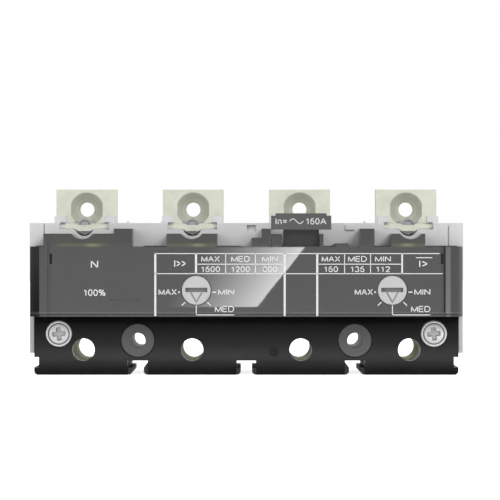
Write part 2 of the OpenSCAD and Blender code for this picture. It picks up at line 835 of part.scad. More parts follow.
// Trip bar: journals, an arm for each pole, heels for the thermal slide and a release lever
arm_half = 2.5;
module trip_arm(x) {
    across([[trip_b - 1, trip_z], [trip_b - 1, hub_top], [stalk_b, hub_top], [stalk_b, arm_z + arm_t],
            [arm_rear, arm_z + arm_t], [arm_rear, arm_z], [arm_face, arm_z], [arm_face, trip_z + 1],
            [trip_b + 1, trip_z]], span(x, arm_half));
}

module release_lever() {
    across([[spring_seat, trip_z], [spring_seat, hub_top], [stalk_b, hub_top], [stalk_b, arm_z + arm_t],
            [lever_b[0], arm_z + arm_t], [lever_b[0], case_top - lever_in], [lever_b[1], case_top - lever_in],
            [lever_b[1], arm_z], [arm_face, arm_z], [trip_b + 1, trip_z]],
           span(lever_x, lever_w / 2));
}

module trip_bar() color(black) {
    axle(trip_r, [-tongue_x + tongue_t + gap, tongue_x - tongue_t - gap], trip_b, trip_z);
    axle(journal_r, [-tongue_x + 0.1, tongue_x - 0.1], trip_b, trip_z);
    for (i = poles) trip_arm(pole_x(i));
    release_lever();
    for (s = [-1, 1])
        block(span(s * heel_x, heel_w / 2), [trip_b - 1.1, trip_b + 0.4], [thermal_z, trip_z]);
}

// Compression spring that holds the trip bar's lever back
spring_seat = trip_b - trip_r;
spring_axis_z = hub_top - spring_r - wire_r;
module trip_bar_spring() color(steel) {
    coil(lever_x, [carrier_rear + 0.1, spring_seat - fit], spring_axis_z, spring_r, 5);
}

// Conductor of one pole: tab, shelf, heater strip and lower terminal
module conductor(i) color(silver_plate) {
    x = pole_x(i);
    shelf_top = shelf_z + shelf_t;
    difference() {
        block(span(x, tab_w / 2), [tab_b, tab_b + tab_t], [shelf_z, tab_top]);
        rod(tab_hole_r, [tab_b - cut, tab_b + tab_t + cut], x, tab_hole_z);
        intersection() {
            translate([x, Y(tab_b), tab_hole_z]) rotate([-90, 0, 0])
                cylinder(r1 = sink_r, r2 = tab_hole_r, h = sink_depth);
            block(span(x, 5.2), [tab_b - cut, tab_b + tab_t], span(tab_hole_z, 9));
        }
    }
    across(concat([[tab_b + 0.1, shelf_z], [tab_b + 0.1, shelf_top]],
                  arc([strip_b + bend_r, shelf_top - bend_r], bend_r, 90, 180), [[strip_b, shelf_z]]),
           span(x, shelf_w / 2));
    difference() {
        block(span(x, strip_w / 2), [strip_b, strip_b + strip_t], [block_top - 0.1, shelf_z + 0.1]);
        for (z = rivet_z) rod(rivet_r + 0.03, [strip_b - cut, strip_b + strip_t + cut], x, z);
    }
    difference() {
        block(span(x, block_half), [terminal_wall + 0.1, strip_b + strip_t], [block_bottom, block_top]);
        rod(bore_r, [terminal_wall - cut, strip_b + strip_t + cut], x, bore_z);
    }
}

module terminal_sleeve(i) color(copper) {
    difference() {
        rod(sleeve_r, [sleeve_b, case_depth], pole_x(i), bore_z);
        rod(bore_r, [sleeve_b - cut, case_depth + cut], pole_x(i), bore_z);
    }
}

// Bimetal of one pole: riveted foot, joggle and free end that carries the calibration screw
rivet_r = 0.8;
rivet_z = [foot_z + 1.6];
module bimetal(i) color(copper) {
    x = pole_x(i);
    difference() {
        across([[strip_b, foot_z], [strip_b, foot_z + foot_h], [strip_b - bimetal_t, foot_z + foot_h + 1.5],
                [strip_b - bimetal_t, ring_z + 1.8], [bimetal_b, ring_z + 1.8],
                [bimetal_b, foot_z + foot_h + 1],
                [strip_b - bimetal_t, foot_z + foot_h - 0.5], [strip_b - bimetal_t, foot_z]],
               span(x, bimetal_w / 2));
        rod(cal_r + 0.02, [bimetal_b - cut, strip_b + cut], x, ring_z);
        for (z = rivet_z) rod(rivet_r + 0.03, [bimetal_b - cut, strip_b + cut], x, z);
    }
}

module bimetal_rivets() color(copper) {
    for (i = poles, z = rivet_z) {
        rod(rivet_r, [strip_b - bimetal_t - 0.5, strip_b + strip_t + 0.5], pole_x(i), z);
        rod(1.5, [strip_b - bimetal_t - 0.6, strip_b - bimetal_t], pole_x(i), z);
        rod(1.5, [strip_b + strip_t, strip_b + strip_t + 0.6], pole_x(i), z);
    }
}

// Calibration screw: hexagonal head with a ring groove and a slotted core
head_core = 1.4;
module calibration_screw(i) color(steel) {
    x = pole_x(i);
    difference() {
        union() {
            through([for (a = [0:60:300]) [x + head_r * sin(a), ring_z + head_r * cos(a)]],
                    [head_b, rib_b - 0.1]);
            rod(cal_r, [head_b + 0.1, strip_b - 0.3], x, ring_z);
        }
        difference() {
            rod(head_r - 0.9, [head_b - cut, head_b + 0.5], x, ring_z);
            rod(head_core, [head_b - 2 * cut, head_b + cut], x, ring_z);
        }
        block(span(x, head_core), [head_b - cut, head_b + 0.7], span(ring_z, 0.3));
    }
}

// Keeper strip in front of the calibration screw, bowed round it
module keeper(i) color(silver_plate) {
    x = pole_x(i);
    k = keeper_z;
    translate([x, 0, 0]) through([
        [-keeper_half, k + 0.3], [-keeper_half + 1.7, k + 0.3], [-keeper_half + 1.7, k],
        [-3.2, k], [-2, k - 0.8], [2, k - 0.8], [3.2, k],
        [keeper_half - 0.4, k], [keeper_half, k + 0.5], [keeper_half, k + keeper_h - 0.3],
        [keeper_half - 1.5, k + keeper_h - 0.2], [2.6, k + keeper_h], [1.6, k + keeper_h - 0.4],
        [-1.6, k + keeper_h - 0.4], [-2.6, k + keeper_h], [-keeper_half + 1.5, k + keeper_h - 0.1],
        [-keeper_half + 1.5, k + keeper_h - 0.5], [-keeper_half, k + keeper_h - 0.5]],
        [keeper_b, keeper_b + keeper_t]);
}

// Yoke of one pole: U-shaped steel round the heater strip, with ears for the armature's pin
module magnet_yoke(i) color(steel) {
    x = pole_x(i);
    difference() {
        union() {
            block(span(x, leg_x), [yoke_b, yoke_b + yoke_t], yoke_z);
            for (s = [-1, 1]) {
                side = [x + min(s * leg_x, s * (leg_x - yoke_t)), x + max(s * leg_x, s * (leg_x - yoke_t))];
                block(side, [leg_b, yoke_b + 0.1], yoke_z);
                across([[leg_b, yoke_z[1] - 0.1], [leg_b + 4, yoke_z[1] - 0.1], [leg_b + 4, pivot_z - 0.5],
                        [pivot_b + 1.2, pivot_z + 1.8], [pivot_b - 1.2, pivot_z + 1.8],
                        [pivot_b - 1.8, pivot_z + 1],
                        [pivot_b - 1.8, pivot_z - 1.2], [leg_b, pivot_z - 1.6]], side);
            }
        }
        rod(stud_r + fit, [yoke_b - cut, yoke_b + yoke_t + cut], x, (post_z[0] + post_z[1]) / 2);
        axle(pin_r + 0.02, span(x, leg_x + cut), pivot_b, pivot_z);
    }
}

// Armature of one pole: plate, pivot barrel, tail for the trip arm and spring post
armature_bottom = magnetic_z - 0.2;
module armature(i) color(steel) {
    x = pole_x(i);
    neck = armature_neck / 2;
    difference() {
        union() {
            block(span(x, armature_w / 2), [armature_b, armature_b + armature_t],
                  [armature_bottom, pivot_z - 2.2]);
            block(span(x, neck), [armature_b, armature_b + armature_t], [pivot_z - 2.3, pivot_z + 1.6]);
            axle(barrel_r, span(x, neck), pivot_b, pivot_z);
            block(span(x, tail_w / 2), [armature_b, armature_b + armature_t], [pivot_z, tail_z]);
            rod(0.8, [armature_b - 0.4, armature_b + 0.1], x, magnetic_z + slide_h / 2);
            rod(spring_r - wire_r - 0.15, [armature_b - 1.5, armature_b + 0.1], spring_place(i), spring_z);
        }
        axle(pin_r + fit, span(x, neck + cut), pivot_b, pivot_z);
    }
}

module armature_pins() color(steel) {
    for (i = poles) axle(pin_r, span(pole_x(i), leg_x + 0.3), pivot_b, pivot_z);
}

module armature_spring(i) color(steel) {
    coil(spring_place(i), [carrier_rear + 0.05, armature_b - 0.05], spring_z, spring_r, 6);
}

base_housing();
back_cover();
terminal_housing();
front_cover();
dial_carrier();
rating_tag();
for (i = poles) {
    conductor(i);
    terminal_sleeve(i);
    bimetal(i);
    magnet_yoke(i);
    armature(i);
    armature_spring(i);
    keeper(i);
    calibration_screw(i);
}
armature_pins();
bimetal_rivets();
trip_bar();
trip_bar_spring();
dial(magnetic_x, -1);  // magnetic_dial
dial(thermal_x, 1);  // thermal_dial
magnetic_slide();
thermal_slide();
captive_screw(-1);  // captive_screw_left
captive_screw(1);  // captive_screw_right
screw_washers();
mounting_bush(-1);  // mounting_bush_left
mounting_bush(1);  // mounting_bush_right
coding_pin();
case_screws();
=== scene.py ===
import math

import bmesh
import bpy
import numpy as np
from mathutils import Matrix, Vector


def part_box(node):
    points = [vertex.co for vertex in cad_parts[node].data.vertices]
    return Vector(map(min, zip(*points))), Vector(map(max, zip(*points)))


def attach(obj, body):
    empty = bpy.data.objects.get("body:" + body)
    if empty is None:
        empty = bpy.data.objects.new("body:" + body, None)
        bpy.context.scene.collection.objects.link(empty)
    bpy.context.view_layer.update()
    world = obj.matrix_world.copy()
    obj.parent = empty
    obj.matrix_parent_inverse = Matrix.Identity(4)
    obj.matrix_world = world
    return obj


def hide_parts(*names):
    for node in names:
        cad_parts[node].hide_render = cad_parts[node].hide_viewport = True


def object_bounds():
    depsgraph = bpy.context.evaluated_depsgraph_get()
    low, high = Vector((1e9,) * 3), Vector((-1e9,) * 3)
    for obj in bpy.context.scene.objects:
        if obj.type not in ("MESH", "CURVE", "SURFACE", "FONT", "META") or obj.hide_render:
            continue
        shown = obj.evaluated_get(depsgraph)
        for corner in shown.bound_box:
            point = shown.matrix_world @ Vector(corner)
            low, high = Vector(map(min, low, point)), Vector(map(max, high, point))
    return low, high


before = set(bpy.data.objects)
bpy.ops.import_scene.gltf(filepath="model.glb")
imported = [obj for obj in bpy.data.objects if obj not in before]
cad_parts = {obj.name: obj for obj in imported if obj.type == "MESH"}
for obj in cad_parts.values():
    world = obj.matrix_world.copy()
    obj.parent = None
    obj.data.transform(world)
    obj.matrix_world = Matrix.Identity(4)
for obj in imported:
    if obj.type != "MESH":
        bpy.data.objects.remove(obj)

CAD_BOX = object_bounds()

bl_info = {
    "name": "Trip Unit Dresser",
    "version": (1, 0, 0),
    "blender": (4, 5, 0),
    "location": "3D View > Sidebar > Trip Unit",
    "description": "Gives a breaker's trip unit its finishes, printed legends, screws and studio",
    "category": "Object",
}

MM = 0.001
CASE_BODY = "case"

# Places that the photograph fixes: the camera is level, one metre in front of the terminal face
FACE_Y = CAD_BOX[0].y + 9.5 * MM
EYE = Vector((0.0, FACE_Y - 1.0, 40.27 * MM))
COVER_Y = CAD_BOX[0].y
HALF_PITCH = 17.5 * MM

# Size of one picture unit at the terminal face and at the cover, and the camera's axis in picture units
FACE_SCALE = 0.3223 * MM
COVER_SCALE = 0.3192 * MM
AXIS_PX = (246.4, 250.0)
TAB_HOLE_PX = 209.3
TAB_Y = FACE_Y + 20.7 * MM
TAB_HOLE_Z = EYE.z + (AXIS_PX[1] - TAB_HOLE_PX) * FACE_SCALE * (TAB_Y - EYE.y)

# Print on the cover in picture units: posts and rails of the frames, then columns and rows of the tables
POSTS_X = (155.25, 284.7, 317.25)
POST_TOP, POST_FOOT = 252.9, 316
RAIL_LEFT = 154.2
TOP_RAIL, MIDDLE_RAIL, LOW_RAIL = 253.6, 264.2, 273.7
TOP_RAIL_RIGHT, LOW_RAIL_RIGHT = 439.8, 442.5
TABLE_TOP, TABLE_FOOT = 253, 274
TABLE_LEFT, TABLE_RIGHT = 196.0, 402.2
COLUMNS_X = (225.6, 255.4, 344.6, 370.6)
MIDDLE_RAILS_X = ((196, 284.6), (317, 402))
OVERLINE = ((416, 257.7), (432.4, 257.7))

# Words on the cover: middle of each column, its name and value, then words as left, right, top, bottom
TABLE_WORDS = (
    (210.5, "MAX", "1600"), (240.5, "MED", "1200"), (270.0, "MIN", "800"),
    (331.0, "MAX", "160"), (357.5, "MED", "136"), (383.0, "MIN", "112"))
NAME_TOP, VALUE_TOP, TABLE_WORD_HEIGHT = 256.0, 266.3, 5.8
HALF_NAMES = {"MAX": 9.2, "MED": 9.4, "MIN": 7.9}
HALF_DIGIT = 2.42
PLAIN_WORDS = (
    ("N", 90.8, 98.1, 260.4, 268.2), ("100%", 83.5, 105.4, 289.3, 296.0),
    ("I>>", 174.0, 186.0, 259.9, 267.2), ("I>", 419.0, 428.0, 260.2, 267.4))

# Marks round each dial from its middle, with their width in light rules, and the words beside it
DIALS_X = (196.25, 392.5)
DIAL_Y = 292.2
DIAL_MARKS = (
    ((0.0, 305.3), (0.0, 315.4), 1.1), ((-0.5, 314.9), (38.0, 314.9), 1.1),
    ((-11.0, 302.2), (-14.6, 305.6), 1.2), ((11.0, 302.2), (14.6, 305.6), 1.2),
    ((16.0, DIAL_Y), (20.0, DIAL_Y), 1.3))
DIAL_DOT_X = (-18.1, -16.5)
DIAL_DOT = 0.5 * MM
DIAL_WORDS = (
    ("MAX", -37.7, -19.6, 288.9, 295.0), ("MIN", 21.9, 37.9, 288.9, 295.0), ("MED", 18.6, 37.9, 306.0, 312.1))

# Print on the rating tag and corners of the cover's step, in picture units
TAG_WORDS = (("In=", 275.4, 287.2), ("160A", 305.9, 326.4))
TAG_WORD_TOP, TAG_WORD_FOOT = 218.1, 224.4
TAG_WAVE_X = (289.6, 303.3)
TAG_WAVE_Y = 221.2
TAG_WAVE_RISE, TAG_WAVE_LINE = 0.75 * MM, 0.25 * MM
TAG_WEIGHT = 0.125
STEP_CORNERS = ((271.3, 234.2), (282.3, 247.6))
STEP_SUNK, STEP_REACH, STEP_ROUND = 0.05 * MM, 1.2 * MM, 0.25 * MM

# Distance under which the points of a turned screw are merged
WELD = 0.002 * MM

# Reflected window in picture units: its outline, and where its light starts and how far it takes to grow full
WINDOW_OUTLINE = ((120, 307.0), (257.3, 307.0), (304.8, 247.2), (120, 247.2))
WINDOW_START_X, WINDOW_START_Y = 168, 300
WINDOW_REACH = 94.7
WINDOW_LEAN = 0.77

# Places on the smoked cover: the painted view of the shelf and its painted glints seen through it, its rim
# with a painted highlight, lip, the groove at the right wing with painted shade, and flow line
PAINTED_SHELF_X = ((-62 * MM, -9.5 * MM), (45 * MM, 57 * MM))
PAINTED_SHELF_Z = (41.38 * MM, 42.30 * MM)
PAINTED_GLINTS_X = (-49.3 * MM, -15.4 * MM, 51.4 * MM)
PAINTED_RIM_LIGHT_Z = (20.12 * MM, 20.42 * MM)
LIP_Z = (19.66 * MM, 19.86 * MM)
SEAM_AND_SHADE_X = (62.35 * MM, 63.25 * MM)
FLOW_X, FLOW_Z = (-42.9 * MM, -34.6 * MM), (24.28 * MM, 24.46 * MM)


def place(x, y):
    """X and Z on the cover's face of a spot given in picture units."""
    return (x - AXIS_PX[0]) * COVER_SCALE, EYE.z + (AXIS_PX[1] - y) * COVER_SCALE


# Settings


def colour_setting(name, text, value):
    return bpy.props.FloatVectorProperty(
        name=name, description=text, default=value, subtype="COLOR", size=3, min=0, max=1)


def length_setting(name, text, value):
    return bpy.props.FloatProperty(
        name=name, description=text, default=value, subtype="DISTANCE", unit="LENGTH")


def share_setting(name, text, value):
    return bpy.props.FloatProperty(
        name=name, description=text, default=value, subtype="FACTOR", min=0, max=1)


def power_setting(name, text, value):
    return bpy.props.FloatProperty(
        name=name, description=text, default=value, subtype="POWER", unit="POWER")


def plain_setting(name, text, value, **limits):
    return bpy.props.FloatProperty(name=name, description=text, default=value, **limits)


class MouldingLook(bpy.types.PropertyGroup):
    """Colours of the moulded parts."""

    case: colour_setting("Case", "Light grey of the case halves", (0.62, 0.62, 0.63))
    terminal: colour_setting("Terminal housing", "Black of the lower moulding", (0.004, 0.004, 0.0045))
    carrier: colour_setting("Carrier", "Black of the dial carrier", (0.020, 0.020, 0.021))
    tag: colour_setting("Tag", "Dark grey of the rating tag", (0.086, 0.088, 0.089))
    dial: colour_setting("Dials", "Pale grey of the setting dials", (0.51, 0.51, 0.51))
    slide: colour_setting("Slides", "Off-white of the setting slides", (0.66, 0.65, 0.60))
    bar: colour_setting("Trip bar", "Black of the trip bar and the coding pin", (0.020, 0.020, 0.021))
    bush: colour_setting("Bushes", "Mid grey of the mounting bushes", (0.122, 0.122, 0.125))
    grain: length_setting("Grain", "Size of the moulded grain", 0.35 * MM)
    edge: length_setting("Edge", "Radius that mould edges look rounded to", 0.22 * MM)


class CoverLook(bpy.types.PropertyGroup):
    """Tint, clearness and print of the smoked cover."""

    tint: colour_setting("Tint", "Colour of the smoked plastic", (0.0185, 0.0194, 0.0180))
    body: share_setting("Body", "Share of the light that one skin of the cover stops", 0.86)
    # Olive of the painted view of the shelf and of its painted glints behind the fingers
    painted_shelf_view: colour_setting("Shelf", "Olive of the shelf seen through the fingers", (0.036, 0.036, 0.020))
    ink: colour_setting("Ink", "White of the printed legend", (0.74, 0.74, 0.74))
    heavy: length_setting("Heavy rule", "Width of the heavy printed rules", 0.66 * MM)
    light: length_setting("Light rule", "Width of the light printed rules", 0.27 * MM)
    film: length_setting("Film", "Height of the print above the cover", 0.03 * MM)


class MetalLook(bpy.types.PropertyGroup):
    """Colours of the plated and bare metal parts."""

    silver: colour_setting("Plating", "Warm silver plating of the conductors", (0.765, 0.775, 0.66))
    brass: colour_setting("Sleeves", "Dull brass of the terminal sleeves", (0.56, 0.58, 0.44))
    bimetal: colour_setting("Bimetals", "Heat-toned strip of the bimetals", (0.42, 0.34, 0.27))
    steel: colour_setting("Magnet steel", "Dull steel of the yokes and armatures", (0.38, 0.38, 0.39))
    zinc: colour_setting("Screws", "Bright zinc of the screws", (0.86, 0.86, 0.87))
    nickel: colour_setting("Calibration screws", "Dull nickel of their heads", (0.50, 0.50, 0.52))
    spring: colour_setting("Springs", "Drawn wire of the springs", (0.56, 0.56, 0.58))


class StageSizes(bpy.types.PropertyGroup):
    """Camera, lamps and floor."""

    angle: bpy.props.FloatProperty(
        name="Camera angle", description="Width of the camera's view", default=math.radians(9.215),
        subtype="ANGLE", unit="ROTATION")
    shift: plain_setting("Shift", "Sideways shift of the frame, as a share of its width", 0.0072)
    key: power_setting("Key lamp", "Power of the lamp above right", 11.0)
    fill: power_setting("Fill lamp", "Power of the lamp at the left", 3.0)
    room: plain_setting("Room light", "Strength of the even light of the room", 0.78, min=0)
    glare: plain_setting("Window", "Strength of the bright window that the cover reflects", 4.1, min=0)
    floor_half: length_setting("Floor", "Half the width of the floor", 3.0)


SETTINGS = {"moulding": MouldingLook, "cover": CoverLook, "metal": MetalLook, "stage": StageSizes}


def look(group):
    return getattr(bpy.context.scene, "trip_" + group)


# Shader expressions


class Wire:
    """Output socket of a node. Each arithmetic operator adds the Math node that works it out."""

    def __init__(self, board, socket):
        self.board, self.socket = board, socket

    def _sum(self, operation, a, b):
        return self.board.add("ShaderNodeMath", {"operation": operation}, {0: a, 1: b})

    def __add__(self, other):
        return self._sum("ADD", self, other)

    __radd__ = __add__

    def __sub__(self, other):
        return self._sum("SUBTRACT", self, other)

    def __rsub__(self, other):
        return self._sum("SUBTRACT", other, self)

    def __mul__(self, other):
        return self._sum("MULTIPLY", self, other)

    __rmul__ = __mul__

    def __truediv__(self, other):
        return self._sum("DIVIDE", self, other)

    def __pow__(self, other):
        return self._sum("POWER", self, other)

    def smooth(self, low, high):
        """0 below low, 1 above high, with a soft step between."""
        return self.board.add(
            "ShaderNodeMapRange", {"interpolation_type": "SMOOTHSTEP"}, {0: self, 1: low, 2: high})

    def clamp(self):
        return self.board.add("ShaderNodeClamp", {}, {0: self})

    def size(self):
        return self.board.add("ShaderNodeMath", {"operation": "ABSOLUTE"}, {0: self})

    def within(self, low, high, soft):
        """1 between low and high and 0 outside, with soft steps."""
        return self.smooth(low - soft, low + soft) * (1.0 - self.smooth(high - soft, high + soft))


class Board:
    """Node tree of one material or of the world."""

    def __init__(self, tree):
        self.tree = tree
        tree.nodes.clear()

    def node(self, kind, settings=None, inputs=None):
        """Adds a node: first its settings, then the values or links of its sockets."""
        node = self.tree.nodes.new(kind)
        for name, value in (settings or {}).items():
            setattr(node, name, value)
        for name, value in (inputs or {}).items():
            if isinstance(value, Wire):
                self.tree.links.new(value.socket, node.inputs[name])
            elif hasattr(value, "__len__") and len(value) == 3 and node.inputs[name].type == "RGBA":
                node.inputs[name].default_value = (*value, 1.0)
            else:
                node.inputs[name].default_value = value
        return node

    def add(self, kind, settings=None, inputs=None, out=0):
        """Adds a node and hands back one of its outputs."""
        return Wire(self, self.node(kind, settings, inputs).outputs[out])

    def mix(self, share, a, b):
        """Blends two colours by a share between 0 and 1."""
        return self.add("ShaderNodeMix", {"data_type": "RGBA"}, {0: share, 6: a, 7: b}, out=2)

    def spot(self):
        return self.add("ShaderNodeTexCoord", out="Object")

    def noise(self, spot, size, detail=2.0, rough=0.5):
        """Noise whose lumps are about the given size across."""
        return self.add("ShaderNodeTexNoise", {}, {
            "Vector": spot, "Scale": 1 / size, "Detail": detail, "Roughness": rough})

    def beside_pole(self, across):
        """Distance from the nearest pole's middle, from the place across the case."""
        folded = self.add(
            "ShaderNodeMath", {"operation": "PINGPONG"}, {0: across.size(), 1: 2 * HALF_PITCH})
        return folded - HALF_PITCH

    def axes(self, vector):
        """The three parts of a vector."""
        return [Wire(self, part) for part in self.node("ShaderNodeSeparateXYZ", {}, {0: vector}).outputs]

    def ray(self, fact):
        """What the light path says of the ray that arrives."""
        return self.add("ShaderNodeLightPath", out=fact)

    def seen(self):
        """1 for the rays that are seen straight or through clear plastic."""
        return self.add("ShaderNodeMath", {"operation": "MAXIMUM"}, {
            0: self.ray("Is Camera Ray"), 1: self.ray("Is Transmission Ray")})

    def finish(self, surface, out="ShaderNodeOutputMaterial"):
        self.node(out, {}, {"Surface": surface})


def tone(colour, factor):
    """Colour made lighter or darker by a factor."""
    return tuple(min(1.0, c * factor) for c in colour)


def new_board(name):
    """New material and the board of its nodes."""
    material = bpy.data.materials.new(name)
    material.use_nodes = True
    return material, Board(material.node_tree)


def rounded(board, radius, height, size):
    """Normal of a surface whose sharp edges look rounded and whose face carries a fine relief."""
    edge = board.add("ShaderNodeBevel", {"samples": 4}, {"Radius": radius})
    return board.add("ShaderNodeBump", {}, {
        "Strength": 1.0, "Distance": size, "Height": height, "Normal": edge}, out="Normal")


def worn_edge(board, radius):
    """Share that rises from 0 on flat faces to 1 along sharp edges."""
    soft = board.add("ShaderNodeBevel", {"samples": 4}, {"Radius": radius})
    flat = board.add("ShaderNodeNewGeometry", out="Normal")
    along = board.add("ShaderNodeVectorMath", {"operation": "DOT_PRODUCT"}, {0: soft, 1: flat}, out="Value")
    return (1.0 - along).smooth(0.02, 0.35)


def moulded(name, colour, gloss=0.42, fleck=0.06, relief=0.010, specular=0.5, painted_light_by_depth=None, low=None,
             matt=None):
    """Moulded plastic: slow drift from the flow of the melt, fine flecks, grain and paler edges.

    painted_light_by_depth and low are (start, end, factor): painted shade or painted light, by its factor,
    that changes its tone with depth, and painted shade that darkens it below a height.
    matt is (start, end, roughness): how much rougher the inner walls are than the polished front.
    """
    sizes = look("moulding")
    material, board = new_board(name)
    spot = board.spot()
    drift = board.noise(spot, 14 * MM, 3.0, 0.6)
    flecks = board.noise(spot, sizes.grain * 0.7, 3.0, 0.7)
    grain = board.noise(spot, sizes.grain, 4.0, 0.62)
    base = board.mix(drift.smooth(0.3, 0.7), tone(colour, 1 - 0.5 * fleck), tone(colour, 1 + 0.5 * fleck))
    base = board.mix(flecks.smooth(0.60, 0.80) * 0.6, base, tone(colour, 1 + 2.2 * fleck))
    base = board.mix(worn_edge(board, sizes.edge) * 0.35, base, tone(colour, 1.25))
    _, depth, height = board.axes(spot)
    # Painted shade where the factor is below 1 and painted light where it is above: the tone changes with
    # depth behind the face
    if painted_light_by_depth:
        base = board.mix(depth.smooth(painted_light_by_depth[0], painted_light_by_depth[1]), base, tone(colour, painted_light_by_depth[2]))
    # Painted shade: darker below a height
    if low:
        base = board.mix(1.0 - height.smooth(low[0], low[1]), base, tone(colour, low[2]))
    rough = gloss + (grain - 0.5) * 0.22 + (drift - 0.5) * 0.10
    if matt:
        rough = rough + depth.smooth(matt[0], matt[1]) * matt[2]
    board.finish(board.add("ShaderNodeBsdfPrincipled", {}, {
        "Base Color": base, "Roughness": rough.clamp(), "Specular IOR Level": specular,
        "Normal": rounded(board, sizes.edge, grain, relief * MM)}))
    return material


def smoked(name):
    """Glossy smoked plastic that lets part of the light through, with painted light that pales it towards the
    roof, a painted view of the shelf and its glints behind the fingers, a painted highlight along its rim and
    painted shade in the groove at its right wing.
    """
    settings = look("cover")
    material, board = new_board(name)
    spot = board.spot()
    haze = board.noise(spot, 9 * MM, 3.0, 0.55)
    dust = board.noise(spot, 0.5 * MM, 3.0, 0.7)
    across, _, up = board.axes(spot)
    # Painted light: the cover lighter towards the top, half of it taken back on the fingers above the shelf
    painted_light_and_haze = up.smooth(20 * MM, 40 * MM) * (1.0 - up.smooth(41.6 * MM, 42.6 * MM) * 0.5)
    painted_light_and_haze = painted_light_and_haze * 0.85 + haze.smooth(0.3, 0.7) * 0.15
    base = board.mix(painted_light_and_haze, tone(settings.tint, 0.5), tone(settings.tint, 1.7))
    base = board.mix(dust.smooth(0.66, 0.82) * 0.25, base, tone(settings.tint, 2.0))
    beside = board.beside_pole(across)
    shown = across.within(*PAINTED_SHELF_X[0], 0.6 * MM) + across.within(*PAINTED_SHELF_X[1], 0.6 * MM)
    # Painted view of the shelf behind the fingers, and painted glints on its bend
    shelf = up.within(*PAINTED_SHELF_Z, 0.45 * MM) * beside.size().smooth(9.6 * MM, 6.4 * MM) * shown
    painted_glint = shelf * sum((across - x).size().smooth(3.4 * MM, 0.2 * MM) for x in PAINTED_GLINTS_X)
    # Painted view of the olive conductor behind the fingers
    behind = up.smooth(41.0 * MM, 41.7 * MM) * beside.size().smooth(9.4 * MM, 8.6 * MM) * shown
    base = board.mix(behind * 0.42, base, settings.painted_shelf_view)
    base = board.mix(shelf * 0.85, base, tone(settings.painted_shelf_view, 2.3))
    base = board.mix(painted_glint * 0.85, base, tone(settings.painted_shelf_view, 5.5))
    # Painted highlight: a lighter band along the cover's lower rim
    rim = up.within(*PAINTED_RIM_LIGHT_Z, 0.14 * MM)
    base = board.mix(rim, base, tone(settings.tint, 4.0))
    # Groove at the right wing, also darkened below as painted shade, where the wall beside the wing stands in
    # shade
    seam_and_shade = across.within(*SEAM_AND_SHADE_X, 0.2 * MM) * up.smooth(20.2 * MM, 20.8 * MM)
    flow = up.within(*FLOW_Z, 0.07 * MM) * across.within(*FLOW_X, 1.2 * MM)
    lip = up.within(*LIP_Z, 0.10 * MM)
    grooves = seam_and_shade * 4.0 + flow * 0.7 + lip * 0.8
    rough = 0.02 + haze.smooth(0.35, 0.75) * 0.012 + dust.smooth(0.6, 0.85) * 0.015
    skin = board.add("ShaderNodeBsdfPrincipled", {}, {
        "Base Color": board.mix(seam_and_shade * 0.7, base, tone(settings.tint, 0.3)), "Roughness": rough,
        "Specular IOR Level": 1.0, "IOR": 1.85,
        "Normal": rounded(board, 0.25 * MM, haze * 0.05 - grooves, 0.08 * MM)})
    clear = board.add("ShaderNodeBsdfTransparent", {}, {"Color": (0.62, 0.61, 0.52)})
    board.finish(board.add("ShaderNodeMixShader", {}, {0: settings.body, 1: clear, 2: skin}))
    return material


def plated(name, colour, rough, metal=0.85, grain=0.5, drawn=False, stain=0.12, edge=0.18, touch=None,
           rim=(1.0, 1.0, 1.0)):
    """Sheet or turned metal: fine scratches, upright on drawn strip, slow stains and brighter edges.

    touch(board, spot, cloud) may return a share and a colour laid over it by place, and rim is the
    tint of its shine at a flat angle.
    """
    material, board = new_board(name)
    spot = board.spot()
    stretch = (1, 1, 0.06 if drawn else 1)
    lines = board.noise(board.add("ShaderNodeMapping", {}, {"Vector": spot, "Scale": stretch}),
                        0.12 * MM, 4.0, 0.7)
    cloud = board.noise(spot, 5 * MM, 4.0, 0.6)
    base = board.mix(cloud.smooth(0.35, 0.75), colour, tone(colour, 1 - stain))
    base = board.mix(lines.smooth(0.55, 0.8) * 0.35, base, tone(colour, 1 + stain))
    base = board.mix(worn_edge(board, edge * MM) * 0.5, base, tone(colour, 1.2))
    if touch:
        share, other = touch(board, spot, cloud)
        base = board.mix(share, base, other)
    roughness = rough + (lines - 0.5) * 0.25 * grain + (cloud - 0.5) * 0.2
    board.finish(board.add("ShaderNodeBsdfPrincipled", {}, {
        "Base Color": base, "Roughness": roughness.clamp(), "Metallic": metal,
        "Specular Tint": rim,
        "Normal": rounded(board, edge * MM, lines, 0.006 * MM * grain)}))
    return material


def painted_countersink_shade(colour):
    """Painted shade: a duller, darker turned cone round the hole of each tab, with painted lighter rings near
    the hole and near its rim.
    """
    def touch(board, spot, cloud):
        across, depth, up = board.axes(spot)
        beside = board.beside_pole(across)
        # Painted shade in the cone, with painted lighter rings by distance from the hole
        cone = beside.size().smooth(5.6 * MM, 5.2 * MM) * depth.within(
            TAB_Y + 0.2 * MM, TAB_Y + 3.6 * MM, 0.12 * MM)
        reach = (beside * beside + (up - TAB_HOLE_Z) * (up - TAB_HOLE_Z)) ** 0.5
        painted_rings = reach.within(2.6 * MM, 3.5 * MM, 0.15 * MM) + reach.smooth(5.3 * MM, 5.9 * MM) * 0.6
        return cone * (0.85 + cloud * 0.15), board.mix(painted_rings * 0.5, tone(colour, 0.60), tone(colour, 0.76))
    return touch


def silver_tip(colour, height):
    """Plated tip above a height."""
    def touch(board, spot, cloud):
        up = board.axes(spot)[2]
        return up.smooth(height - 0.2 * MM, height + 0.2 * MM), tone(colour, 0.95)
    return touch


